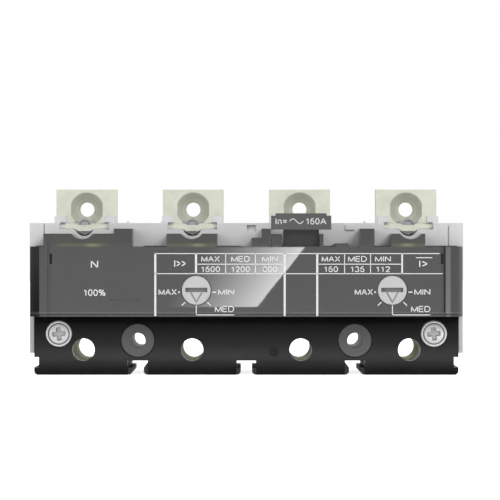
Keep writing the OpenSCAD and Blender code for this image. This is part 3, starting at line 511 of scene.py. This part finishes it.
def painted_groove_shade(front):
    """Painted shade: dark in the groove and along the recess walls, and a greyer recess floor."""
    def touch(board, spot, cloud):
        depth = board.axes(spot)[1] - front
        # Painted shade: dark along the walls of the groove and recess, greyer on the recess floor
        floor = depth.smooth(0.74 * MM, 0.84 * MM)
        groove_shade = depth.smooth(0.36 * MM, 0.46 * MM) * (0.80 + cloud * 0.2)
        groove_shade = groove_shade * (1.0 - depth.smooth(1.05 * MM, 1.15 * MM))
        return groove_shade, board.mix(floor, (0.05, 0.05, 0.051), (0.64, 0.64, 0.65))
    return touch


def printed(name, colour):
    """Screen-printed ink: thin spots and a faint mesh of the screen."""
    material, board = new_board(name)
    spot = board.spot()
    thin = board.noise(spot, 0.6 * MM, 3.0, 0.6)
    mesh = board.noise(spot, 0.09 * MM, 2.0, 0.5)
    base = board.mix(thin.smooth(0.55, 0.85) * 0.35, colour, tone(colour, 0.82))
    board.finish(board.add("ShaderNodeBsdfPrincipled", {}, {
        "Base Color": base, "Roughness": (0.38 + (mesh - 0.5) * 0.2).clamp(),
        "Normal": board.add("ShaderNodeBump", {}, {"Distance": 0.004 * MM, "Height": mesh}, out="Normal")}))
    return material


# Surfaces


def sheet_faces(rows, columns):
    """Quads of a grid of points, row after row, with each row closed on itself."""
    r, c = np.meshgrid(np.arange(rows - 1), np.arange(columns), indexing="ij")
    here, there = r * columns + c, r * columns + (c + 1) % columns
    return np.stack([here, there, there + columns, here + columns], axis=-1).reshape(-1, 4)


def join_shells(shells):
    """One array of points and one of faces out of several."""
    points, faces, start = [], [], 0
    for p, f in shells:
        points.append(p)
        faces.append(f + start)
        start += len(p)
    return np.concatenate(points), np.concatenate(faces)


def make_piece(name, points, faces, finish, slot, body=CASE_BODY, smooth=True, weld=0.0):
    """Mesh object at the origin, with its place in its mesh."""
    mesh = bpy.data.meshes.new(name)
    mesh.from_pydata(points.tolist(), [], faces.tolist())
    mesh.update()
    if weld:
        soft = bmesh.new()
        soft.from_mesh(mesh)
        bmesh.ops.remove_doubles(soft, verts=soft.verts, dist=weld)
        bmesh.ops.recalc_face_normals(soft, faces=soft.faces)
        soft.to_mesh(mesh)
        soft.free()
    mesh.polygons.foreach_set("use_smooth", np.full(len(mesh.polygons), smooth))
    mesh.materials.append(finish)
    piece = bpy.data.objects.new(name, mesh)
    bpy.context.scene.collection.objects.link(piece)
    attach(piece, body)
    return piece


def rule(start, end, width, y, film):
    """Printed rule: the four corners of a bar from start to end, drawn in along a quarter round."""
    a, b = np.array(start), np.array(end)
    run = (b - a) / np.linalg.norm(b - a)
    side = np.array([-run[1], run[0]])
    t = np.linspace(0, np.pi / 2, 4)
    inset = np.concatenate([[0.0], film * (1 - np.cos(t)) * 0.8])
    depth = np.concatenate([[0.0], film * np.sin(t)])
    inward = np.array([run, run, -run, -run])
    outward = np.array([-side, side, side, -side])
    inset = inset[:, None, None]
    flat = np.array([a, a, b, b]) + inset * inward + (width / 2 - inset) * outward
    back = np.repeat((y - depth)[:, None], 4, axis=1)
    points = np.stack([flat[..., 0], back, flat[..., 1]], axis=-1).reshape(-1, 3)
    rows = len(inset)
    faces = sheet_faces(rows, 4)
    last = (rows - 1) * 4
    caps = np.array([[0, 1, 2, 3], [last + 3, last + 2, last + 1, last]])
    return points, np.concatenate([faces, caps])


def slab(x0, x1, z0, z1, front, back, soft):
    """Plate between two corners: its outline is carried back in a quarter round, then straight."""
    t = np.linspace(0, np.pi / 2, 6)
    inset = np.concatenate([soft * (1 - np.sin(t)), [0.0]])
    depth = np.concatenate([front + soft * (1 - np.cos(t)), [back]])
    x = np.stack([x0 + inset, x1 - inset, x1 - inset, x0 + inset], axis=1)
    z = np.stack([z0 + inset, z0 + inset, z1 - inset, z1 - inset], axis=1)
    points = np.stack([x, np.repeat(depth[:, None], 4, axis=1), z], axis=-1).reshape(-1, 3)
    rows = len(inset)
    last = (rows - 1) * 4
    faces = flip(sheet_faces(rows, 4))
    caps = np.array([[0, 1, 2, 3], [last + 3, last + 2, last + 1, last]])
    return points, np.concatenate([faces, caps])


def stroke(path, width, y, film):
    """Printed line along a path of places: a flat ribbon carried along it, closed all round."""
    path = np.asarray(path)
    run = np.gradient(path, axis=0)
    run /= np.linalg.norm(run, axis=1)[:, None]
    side = np.stack([-run[:, 1], run[:, 0]], axis=-1) * width / 2
    left, right = path + side, path - side
    flat = np.stack([left, left, right, right], axis=1)
    back = np.tile(y - np.array([0, film, film, 0]), (len(path), 1))
    points = np.stack([flat[..., 0], back, flat[..., 1]], axis=-1).reshape(-1, 3)
    faces = sheet_faces(len(path), 4)
    last = (len(path) - 1) * 4
    caps = np.array([[0, 3, 2, 1], [last, last + 1, last + 2, last + 3]])
    return points, np.concatenate([faces, caps])


def bow(x, y, rx, ry, start, end, count=17):
    """Points along a part of an ellipse, between two angles in degrees."""
    t = np.radians(np.linspace(start, end, count))
    return list(zip(x + rx * np.cos(t), y + ry * np.sin(t)))


# Strokes of the printed characters, each in a box one unit high: its width, then its lines
GLYPHS = {
    "A": (0.88, [(0, 0), (0.44, 1)], [(0.44, 1), (0.88, 0)], [(0.17, 0.34), (0.71, 0.34)]),
    "D": (0.80, [(0, 0), (0, 1)],
          [(0, 1), (0.34, 1), *bow(0.34, 0.5, 0.46, 0.5, 80, -80), (0.34, 0), (0, 0)]),
    "E": (0.66, [(0, 0), (0, 1)], [(0, 1), (0.66, 1)], [(0, 0.52), (0.60, 0.52)], [(0, 0), (0.66, 0)]),
    "I": (0.06, [(0.03, 0), (0.03, 1)]),
    "M": (0.94, [(0, 0), (0, 1)], [(0, 1), (0.47, 0)], [(0.47, 0), (0.94, 1)], [(0.94, 1), (0.94, 0)]),
    "N": (0.78, [(0, 0), (0, 1)], [(0, 1), (0.78, 0)], [(0.78, 0), (0.78, 1)]),
    "X": (0.80, [(0, 0), (0.80, 1)], [(0, 1), (0.80, 0)]),
    "0": (0.58, bow(0.29, 0.5, 0.29, 0.5, 0, 360, 33)),
    "1": (0.46, [(0.30, 0), (0.30, 1)], [(0.30, 0.97), (0.04, 0.74)]),
    "2": (0.58, [*bow(0.29, 0.72, 0.27, 0.28, 175, -40), (0.02, 0.0)], [(0, 0), (0.58, 0)]),
    "3": (0.58, bow(0.27, 0.75, 0.24, 0.25, 165, -90), bow(0.27, 0.26, 0.30, 0.26, 90, -165)),
    "6": (0.58, bow(0.29, 0.30, 0.28, 0.30, 0, 360, 33), bow(0.38, 0.40, 0.37, 0.60, 190, 70)),
    "8": (0.58, bow(0.29, 0.76, 0.23, 0.24, 0, 360, 29), bow(0.29, 0.26, 0.29, 0.26, 0, 360, 33),
          [(0.10, 0.52), (0.48, 0.52)]),
    "%": (0.96, [(0.24, 0), (0.72, 1)], bow(0.18, 0.76, 0.18, 0.22, 0, 360, 25),
          bow(0.78, 0.24, 0.18, 0.22, 0, 360, 25)),
    ">": (0.56, [(0, 0.86), (0.56, 0.5)], [(0.56, 0.5), (0, 0.14)]),
    "n": (0.42, [(0, 0), (0, 0.74)], [*bow(0.21, 0.44, 0.21, 0.30, 180, 0, 13), (0.42, 0)]),
    "=": (0.50, [(0, 0.66), (0.50, 0.66)], [(0, 0.34), (0.50, 0.34)]),
}

LETTER_SPACE = 0.26


def lettering(text, left, right, top, bottom, y, film, weight=0.145):
    """Word drawn in strokes that fill a box on the face, standing a film's height proud of it."""
    width = weight * (top - bottom)
    total = sum(GLYPHS[c][0] for c in text) + LETTER_SPACE * (len(text) - 1)
    stretch = np.array([(right - left - width) / total, top - bottom - width])
    shells, corner = [], np.array([left, bottom]) + width / 2
    for c in text:
        shells += [stroke(corner + np.array(line) * stretch, width, y, film) for line in GLYPHS[c][1:]]
        corner[0] += (GLYPHS[c][0] + LETTER_SPACE) * stretch[0]
    return join_shells(shells)


def flip(faces):
    """The same faces turned to look the other way."""
    return faces[:, ::-1]


def turned(profile, columns, centre, wave):
    """Turned surface: a profile of radius and depth carried round an axis along the depth.

    wave(radius, depth, angle) returns them changed by place, for recesses and threads.
    """
    profile = np.asarray(profile)
    angle = np.linspace(0, 2 * np.pi, columns, endpoint=False)
    r, t = np.meshgrid(profile[:, 0], angle, indexing="ij")
    b = np.repeat(profile[:, 1][:, None], columns, axis=1)
    r, b = wave(r, b, t)
    points = np.stack([centre[0] + r * np.cos(t), FACE_Y + b, centre[1] + r * np.sin(t)], axis=-1)
    return points.reshape(-1, 3), sheet_faces(len(profile), columns)


def soft_step(value, low, high):
    """0 below low and 1 above high, with an even slope at both ends."""
    t = np.clip((value - low) / (high - low), 0, 1)
    return t * t * (3 - 2 * t)


def cross_recess(r, t, reach, arm, depth, wall, turn=0.0):
    """Depth of a cross recess: two slots at right angles with sloping walls and a level floor."""
    u, v = r * np.cos(t - turn), r * np.sin(t - turn)

    def slot(along, across):
        return ((1 - soft_step(np.abs(across), arm - wall / 2, arm + wall / 2))
                * (1 - soft_step(np.abs(along), reach - wall, reach + wall)))
    return depth * np.maximum(slot(u, v), slot(v, u))


def line_points(*stops, step=0.12 * MM):
    """Profile through the stops, with its long straights cut into short steps."""
    rows = []
    for a, b in zip(stops[:-1], stops[1:]):
        a, b = np.array(a), np.array(b)
        n = max(1, int(np.ceil(np.linalg.norm(b - a) / step)))
        rows.append(a + (b - a) * np.linspace(0, 1, n, endpoint=False)[:, None])
    rows.append(np.array([stops[-1]]))
    return np.concatenate(rows)


# Operators


class Build(bpy.types.Operator):
    """Base of the trip unit's operators."""

    bl_options = {"REGISTER", "UNDO"}


class TRIP_OT_stage(Build):
    """Sets up the camera, floor, lamps, the room and the window that the cover reflects"""

    bl_idname = "trip.stage"
    bl_label = "Stage"

    def execute(self, context):
        sizes = look("stage")
        self.camera(sizes)
        self.room(sizes)
        self.floor(sizes)
        self.lamp("key_lamp", (0.75, -0.95, 0.95), 0.8, sizes.key)
        self.lamp("fill_lamp", (-0.9, -0.8, 0.35), 0.9, sizes.fill)
        self.lamp("back_lamp", (0.2, 0.9, 0.9), 0.8, sizes.fill * 0.4)
        self.window(sizes)
        context.scene.view_settings.view_transform = "Standard"
        return {"FINISHED"}

    def camera(self, sizes):
        data = bpy.data.cameras.new("camera")
        data.sensor_width = 36.0
        data.lens = data.sensor_width / 2 / math.tan(sizes.angle / 2)
        data.shift_x = sizes.shift
        data.clip_start, data.clip_end = 0.05, 50
        eye = bpy.data.objects.new("camera", data)
        eye.location = EYE
        eye.rotation_euler = (math.pi / 2, 0, 0)
        bpy.context.scene.collection.objects.link(eye)
        bpy.context.scene.camera = eye

    def lamp(self, name, place_at, size, power):
        data = bpy.data.lights.new(name, "AREA")
        data.shape, data.size, data.energy = "DISK", size, power
        lamp = bpy.data.objects.new(name, data)
        lamp.location = place_at
        aim = Vector((0, 0, 0.03)) - lamp.location
        lamp.rotation_euler = aim.to_track_quat("-Z", "Y").to_euler()
        lamp.visible_glossy = False
        bpy.context.scene.collection.objects.link(lamp)

    def room(self, sizes):
        """Even light for matt surfaces, and for gloss a pale backdrop behind and soft panels in front."""
        world = bpy.data.worlds.new("room")
        bpy.context.scene.world = world
        world.use_nodes = True
        board = Board(world.node_tree)
        side, depth, up = board.axes(board.add("ShaderNodeTexCoord", out="Generated"))
        level = board.add("ShaderNodeMath", {"operation": "ARCTAN2"}, {0: side, 1: 0.0 - depth})
        pitch = board.add("ShaderNodeMath", {"operation": "ARCSINE"}, {0: up})
        band = (pitch.smooth(-0.20, -0.09) * (1.0 - pitch.smooth(-0.065, 0.03) * 0.64)
                * (1.0 - pitch.smooth(0.05, 0.28) * 0.9))
        left_end = level.smooth(-1.02, -0.96)
        right_end = 1.0 - level.smooth(0.55, 0.75) * 0.6
        right_gain = 1.0 + level.smooth(0.10, 0.30) * 0.9
        front = 0.05 + band * left_end * right_end * right_gain * 0.9
        above = pitch.smooth(0.6, 1.1) * 0.9
        below = (0.0 - pitch).smooth(0.30, 0.55) * 0.8
        strip = (1.0 - side.size().smooth(0.12, 0.24)) * 0.75
        behind = depth.smooth(0.05, 0.35) * (0.03 + side.smooth(0.12, 0.30) * 0.3 + strip)
        gloss = (front + above + below) * (1.0 - behind) + behind
        seen, shiny = board.seen(), board.ray("Is Glossy Ray")
        power = (1.0 - seen) * ((1.0 - shiny) * sizes.room + shiny * gloss) + seen
        board.finish(board.add("ShaderNodeBackground", {}, {"Color": (1, 1, 1), "Strength": power}),
                     out="ShaderNodeOutputWorld")

    def floor(self, sizes):
        """Pale paper just under the feet, seen a little brighter than it lights."""
        half, level = sizes.floor_half, CAD_BOX[0].z - 0.02 * MM
        corners = [(-half, -half, level), (half, -half, level), (half, half, level), (-half, half, level)]
        mesh = bpy.data.meshes.new("floor")
        mesh.from_pydata(corners, [], [[0, 1, 2, 3]])
        material, board = new_board("floor_paper")
        spot = board.spot()
        cloud = board.noise(spot, 0.4, 2.0, 0.5)
        shade = board.mix(cloud.smooth(0.3, 0.7), (0.80, 0.80, 0.80), (0.84, 0.84, 0.84))
        paper = board.add("ShaderNodeBsdfDiffuse", {}, {"Color": shade, "Roughness": 0.5})
        white = board.add("ShaderNodeEmission", {}, {"Color": (1, 1, 1), "Strength": 0.85})
        bright = board.add("ShaderNodeAddShader", {}, {0: paper, 1: white})
        board.finish(board.add("ShaderNodeMixShader", {}, {0: board.seen(), 1: paper, 2: bright}))
        mesh.materials.append(material)
        floor = bpy.data.objects.new("floor", mesh)
        bpy.context.scene.collection.objects.link(floor)
        floor.visible_glossy = False

    def window(self, sizes):
        """Bright slanted window in front of the cover, seen only in its reflections.

        It brightens evenly towards its slanted edge. A ray from any part behind the cover's face
        comes a longer way and finds the card clear.
        """
        gap = 120 * MM
        grow = 1 + gap / (COVER_Y - EYE.y)
        spots = np.array([place(*p) for p in WINDOW_OUTLINE])
        x = spots[:, 0] * grow
        z = EYE.z + (spots[:, 1] - EYE.z) * grow
        points = np.stack([x, np.full(len(x), COVER_Y - gap), z], axis=-1)
        mesh = bpy.data.meshes.new("window")
        mesh.from_pydata(points.tolist(), [], [list(range(len(x)))])
        material, board = new_board("window_light")
        across, _, up = board.axes(board.spot())
        far = EYE.z + (place(0, WINDOW_START_Y)[1] - EYE.z) * grow
        unit = COVER_SCALE * grow
        along = across / unit + (far - up) * (WINDOW_LEAN / unit)
        share = ((along + (AXIS_PX[0] - WINDOW_START_X)) / WINDOW_REACH).clamp()
        near = 1.0 - board.ray("Ray Length").smooth(gap + 1.5 * MM, gap + 4 * MM)
        fade = share * (0.4 + 0.6 * share) * near
        glow = board.add("ShaderNodeEmission", {}, {"Color": (1, 1, 1), "Strength": sizes.glare})
        air = board.add("ShaderNodeBsdfTransparent", {}, {"Color": (1, 1, 1)})
        board.finish(board.add("ShaderNodeMixShader", {}, {0: fade, 1: air, 2: glow}))
        mesh.materials.append(material)
        card = bpy.data.objects.new("window", mesh)
        bpy.context.scene.collection.objects.link(card)
        card.visible_camera = card.visible_diffuse = card.visible_shadow = card.visible_transmission = False


class TRIP_OT_finishes(Build):
    """Gives every moulded and metal part of the frame its finish"""

    bl_idname = "trip.finishes"
    bl_label = "Finishes"

    def execute(self, context):
        mould, metal = look("moulding"), look("metal")
        finishes = {
            "case": moulded("case_moulding", mould.case, gloss=0.50),
            # Painted light: everything of the terminal moulding 1.5 to 3 mm and more behind its face is
            # lightened 22-fold
            "terminal": moulded("terminal_moulding", mould.terminal, gloss=0.17, fleck=0.10, relief=0.004,
                                specular=0.75, painted_light_by_depth=(FACE_Y + 1.5 * MM, FACE_Y + 3.0 * MM, 22),
                                matt=(FACE_Y + 1.5 * MM, FACE_Y + 3.0 * MM, 0.30)),
            "cover": smoked("smoked_cover"),
            "carrier": moulded("carrier_moulding", mould.carrier),
            # Painted shade: the rating tag darkened to half below its head, at 46.2 to 46.9 mm, on its neck
            "tag": moulded("tag_moulding", mould.tag, gloss=0.34, low=(46.2 * MM, 46.9 * MM, 0.5)),
            # Painted shade: the dials darker in their slot and pointer recess, 0.28 to 0.95 mm and more
            # behind the cover's face
            "dial": moulded("dial_moulding", mould.dial, gloss=0.40, relief=0.006,
                            painted_light_by_depth=(COVER_Y + 0.28 * MM, COVER_Y + 0.95 * MM, 0.52)),
            "slide": moulded("slide_moulding", mould.slide),
            "bar": moulded("bar_moulding", mould.bar),
            "bush": moulded("bush_moulding", mould.bush, gloss=0.34, relief=0.014),
            "silver": plated("silver_plating", metal.silver, rough=0.46, metal=0.25, drawn=True,
                             touch=painted_countersink_shade(metal.silver)),
            "brass": plated("sleeve_brass", metal.brass, rough=0.46, metal=0.80, rim=(0.86, 0.88, 0.70)),
            "bimetal": plated("bimetal_strip", metal.bimetal, rough=0.40, drawn=True, stain=0.3,
                              touch=silver_tip(metal.silver, 45.5 * MM)),
            "steel": plated("magnet_steel", metal.steel, rough=0.45, drawn=True, stain=0.2),
            "zinc": plated("screw_zinc", metal.zinc, rough=0.22, metal=0.95, edge=0.12),
            "nickel": plated("calibration_nickel", metal.nickel, rough=0.42, metal=0.4),
            "spring": plated("spring_wire", metal.spring, rough=0.30, edge=0.08),
        }
        # The longest of these names that a part's name starts with gives its finish
        parts = {
            "base_housing": "case", "back_cover": "case", "terminal_housing": "terminal",
            "front_cover": "cover", "dial_carrier": "carrier", "rating_tag": "tag",
            "magnetic_dial": "dial", "thermal_dial": "dial", "magnetic_slide": "slide",
            "thermal_slide": "slide", "trip_bar": "bar", "coding_pin": "bar", "mounting_bush": "bush",
            "conductor": "silver", "keeper": "silver", "terminal_sleeve": "brass", "bimetal_rivets": "brass",
            "bimetal": "bimetal", "magnet_yoke": "steel", "armature": "steel", "armature_pins": "zinc",
            "armature_spring": "spring", "trip_bar_spring": "spring", "calibration_screw": "nickel",
            "captive_screw": "zinc", "screw_washers": "zinc", "case_screws": "zinc",
        }
        for name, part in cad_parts.items():
            match = max((key for key in parts if name.startswith(key)), key=len, default=None)
            if match is None:
                raise RuntimeError(f"no finish for the part {name}")
            for slot in part.material_slots:
                slot.material = finishes[parts[match]]
        return {"FINISHED"}


class TRIP_OT_legend(Build):
    """Prints the setting legend on the cover: rules, words, numbers and dial marks"""

    bl_idname = "trip.legend"
    bl_label = "Cover Legend"

    def execute(self, context):
        settings = look("cover")
        ink = printed("legend_ink", settings.ink)
        bars = self.frames(settings.heavy, settings.light) + self.dial_marks(settings.light)
        shells = [rule(place(*a), place(*b), width, COVER_Y, settings.film) for a, b, width in bars]
        make_piece("legend_rules", *join_shells(shells), ink, "cover_smoke", smooth=False)
        shells = []
        for word, left, right, top, bottom in self.words():
            (x0, z1), (x1, z0) = place(left, top), place(right, bottom)
            shells.append(lettering(word, x0, x1, z1, z0, COVER_Y, settings.film))
        make_piece("legend_words", *join_shells(shells), ink, "cover_smoke", smooth=False)
        return {"FINISHED"}

    def frames(self, heavy, light):
        """Posts and rails round the settings, and the lines of the two tables."""
        bars = [((x, POST_TOP), (x, POST_FOOT), heavy) for x in POSTS_X]
        for x, width in ((TABLE_LEFT, heavy), (TABLE_RIGHT, heavy * 0.8), *((x, light) for x in COLUMNS_X)):
            bars.append(((x, TABLE_TOP), (x, TABLE_FOOT), width))
        bars.append(((RAIL_LEFT, TOP_RAIL), (TOP_RAIL_RIGHT, TOP_RAIL), light))
        bars.append(((RAIL_LEFT, LOW_RAIL), (LOW_RAIL_RIGHT, LOW_RAIL), light))
        bars += [((a, MIDDLE_RAIL), (b, MIDDLE_RAIL), light) for a, b in MIDDLE_RAILS_X]
        return [*bars, (*OVERLINE, light)]

    def dial_marks(self, light):
        """Leader, ticks and dot round each dial."""
        bars = []
        for x in DIALS_X:
            bars += [((x + a, y0), (x + b, y1), light * width) for (a, y0), (b, y1), width in DIAL_MARKS]
            bars.append(((x + DIAL_DOT_X[0], DIAL_Y), (x + DIAL_DOT_X[1], DIAL_Y), DIAL_DOT))
        return bars

    def words(self):
        """Each word of the legend with its left, right, top and bottom in picture units."""
        words = list(PLAIN_WORDS)
        for x, name, value in TABLE_WORDS:
            for word, top in ((name, NAME_TOP), (value, VALUE_TOP)):
                half = HALF_NAMES.get(word, HALF_DIGIT * len(word) - 0.2)
                words.append((word, x - half, x + half, top, top + TABLE_WORD_HEIGHT))
        for x in DIALS_X:
            words += [(word, x + a, x + b, top, bottom) for word, a, b, top, bottom in DIAL_WORDS]
        return words


class TRIP_OT_step(Build):
    """Adds the low step of the smoked cover between the third pole's finger and the rating tag's neck"""

    bl_idname = "trip.step"
    bl_label = "Cover Step"

    def execute(self, context):
        (x0, z1), (x1, z0) = (place(*corner) for corner in STEP_CORNERS)
        step = slab(x0, x1, z0, z1, COVER_Y + STEP_SUNK, COVER_Y + STEP_REACH, STEP_ROUND)
        make_piece("cover_step", *step, bpy.data.materials["smoked_cover"], "cover_smoke", smooth=False)
        return {"FINISHED"}


class TRIP_OT_tag(Build):
    """Prints the rated current and its wave mark, one period of a sine, on the rating tag"""

    bl_idname = "trip.tag"
    bl_label = "Tag Print"

    def execute(self, context):
        settings = look("cover")
        ink = printed("tag_ink", settings.ink)
        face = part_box("rating_tag")[0].y
        t = np.linspace(0, 1, 33)
        (x0, middle), (x1, _) = (place(x, TAG_WAVE_Y) for x in TAG_WAVE_X)
        wave = np.stack([x0 + t * (x1 - x0), middle + TAG_WAVE_RISE * np.sin(2 * np.pi * t)], axis=-1)
        make_piece("tag_wave", *stroke(wave, TAG_WAVE_LINE, face, settings.film), ink, "tag_grey")
        shells = []
        for word, left, right in TAG_WORDS:
            (x0, z1), (x1, z0) = place(left, TAG_WORD_TOP), place(right, TAG_WORD_FOOT)
            shells.append(lettering(word, x0, x1, z1, z0, face, settings.film, TAG_WEIGHT))
        make_piece("tag_words", *join_shells(shells), ink, "tag_grey", smooth=False)
        return {"FINISHED"}


class TRIP_OT_screws(Build):
    """Turns the captive screws and the case screws with rim, groove, cross recess and rolled thread"""

    bl_idname = "trip.screws"
    bl_label = "Screws"

    def execute(self, context):
        shine = look("metal").zinc
        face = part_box("captive_screw_left")[0].y
        # Painted shade in the head's groove and cross recess
        bright = plated("turned_zinc", tone(shine, 1.12), rough=0.22, metal=0.32, grain=0.06, stain=0.04,
                        edge=0.06, touch=painted_groove_shade(face))
        zinc = plated("case_screw_zinc", shine, rough=0.24, metal=0.82, grain=0.15, edge=0.10)
        for side in ("left", "right"):
            name = f"captive_screw_{side}"
            low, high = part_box(name)
            piece = make_piece(f"{name}_turned", *self.captive(low, high), bright, "screw_zinc", body=name,
                               weld=WELD)
            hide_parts(name)
        low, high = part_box("case_screws")
        reach = (high.z - low.z) / 2
        shells = [self.case_screw(x, (low + high) / 2, low.y, high.y, reach)
                  for x in (low.x + reach, (low.x + high.x) / 2, high.x - reach)]
        piece = make_piece("case_screws_turned", *join_shells(shells), zinc, "screw_zinc", weld=WELD)
        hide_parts("case_screws")
        return {"FINISHED"}

    def thread(self, start, end, pitch, depth):
        """Wave of a rolled thread: a rounded V that runs one pitch along for each turn."""
        def wave(r, b, t):
            phase = np.mod((b - start) / pitch - t / (2 * np.pi), 1)
            ridge = np.abs(2 * phase - 1) ** 1.3
            on = soft_step(b, start, start + 2 * pitch) * (1 - soft_step(b, end - pitch, end))
            return r - depth * (1 - ridge) * on * (r > 3 * depth), b
        return wave

    def captive(self, low, high):
        """Cheese head with a rounded rim, a groove, a crowned face and a cross recess on a long shank."""
        head = (high.z - low.z) / 2
        front, end = low.y - FACE_Y, high.y - FACE_Y
        shank = 1.93 * MM
        start, last = end - 13 * MM, end - 0.5 * MM
        stops = [(0, 0.02), (1.2, 0.03), (2.3, 0.08), (2.92, 0.16), (3.04, 0.30), (3.10, 0.62),
                 (3.26, 0.64), (3.36, 0.30), (3.46, 0.08), (3.66, 0.0), (3.86, 0.05), (4.01, 0.22),
                 (4.06, 0.42)]
        profile = [(r / stops[-1][0] * head, front + b * MM) for r, b in stops]
        profile += [(head, front + 1.80 * MM), (head - 0.12 * MM, front + 1.93 * MM),
                    (shank + 0.15 * MM, front + 1.95 * MM), (shank, front + 2.1 * MM), (shank, start)]
        profile += [(shank, b) for b in np.arange(start + 0.1 * MM, last, 0.1 * MM)]
        profile += [(shank - 0.5 * MM, end), (0, end)]
        thread = self.thread(start, last, pitch=0.7 * MM, depth=0.32 * MM)

        def wave(r, b, t):
            cut = cross_recess(
                r, t, reach=2.0 * MM, arm=0.66 * MM, depth=0.9 * MM, wall=0.24 * MM, turn=0.10)
            r, b = thread(r, b, t)
            return r, b + cut * (b < front + 0.5 * MM)
        return turned(line_points(*profile), 120, ((low.x + high.x) / 2, (low.z + high.z) / 2), wave)

    def case_screw(self, x, middle, front, back, reach):
        """Pan head with a cross recess at the back of the case, its thread running forwards."""
        first, last = front - FACE_Y, back - FACE_Y
        core = 1.02 * MM
        head = line_points(
            (0, last), (0.9 * MM, last - 0.01 * MM), (1.5 * MM, last - 0.10 * MM),
            (1.95 * MM, last - 0.38 * MM), (reach, last - 0.75 * MM), (reach, last - 1.40 * MM),
            (core, last - 1.42 * MM))
        shaft = [(core, b) for b in np.arange(last - 1.5 * MM, first + 1.2 * MM, -0.09 * MM)]
        profile = np.concatenate([head, shaft, [(core * 0.5, first + 0.1 * MM), (0, first)]])
        thread = self.thread(first + 0.8 * MM, last - 12 * MM, pitch=0.6 * MM, depth=0.24 * MM)

        def wave(r, b, t):
            cut = cross_recess(r, t, reach=1.25 * MM, arm=0.34 * MM, depth=0.9 * MM, wall=0.12 * MM)
            r, b = thread(r, b, t)
            return r, b - cut * (b > last - 0.6 * MM)
        points, faces = turned(profile, 72, (x, middle.z), wave)
        return points, flip(faces)


STEPS = [TRIP_OT_stage, TRIP_OT_finishes, TRIP_OT_step, TRIP_OT_legend, TRIP_OT_tag, TRIP_OT_screws]
CLASSES = [MouldingLook, CoverLook, MetalLook, StageSizes, *STEPS]


class TRIP_PT_panel(bpy.types.Panel):
    """Sizes, colours and steps of the trip unit"""

    bl_idname = "TRIP_PT_panel"
    bl_label = "Trip Unit"
    bl_space_type = "VIEW_3D"
    bl_region_type = "UI"
    bl_category = "Trip Unit"

    def draw(self, context):
        for group, kind in SETTINGS.items():
            box = self.layout.box()
            for name in kind.__annotations__:
                box.prop(look(group), name)
        for kind in STEPS:
            self.layout.operator(kind.bl_idname)


def register():
    for kind in [*CLASSES, TRIP_PT_panel]:
        bpy.utils.register_class(kind)
    for group, kind in SETTINGS.items():
        setattr(bpy.types.Scene, "trip_" + group, bpy.props.PointerProperty(type=kind))


def unregister():
    for group in SETTINGS:
        delattr(bpy.types.Scene, "trip_" + group)
    for kind in reversed([*CLASSES, TRIP_PT_panel]):
        bpy.utils.unregister_class(kind)


def main():
    register()
    for kind in STEPS:
        family, step = kind.bl_idname.split(".")
        getattr(getattr(bpy.ops, family), step)()


if __name__ == "__main__":
    main()
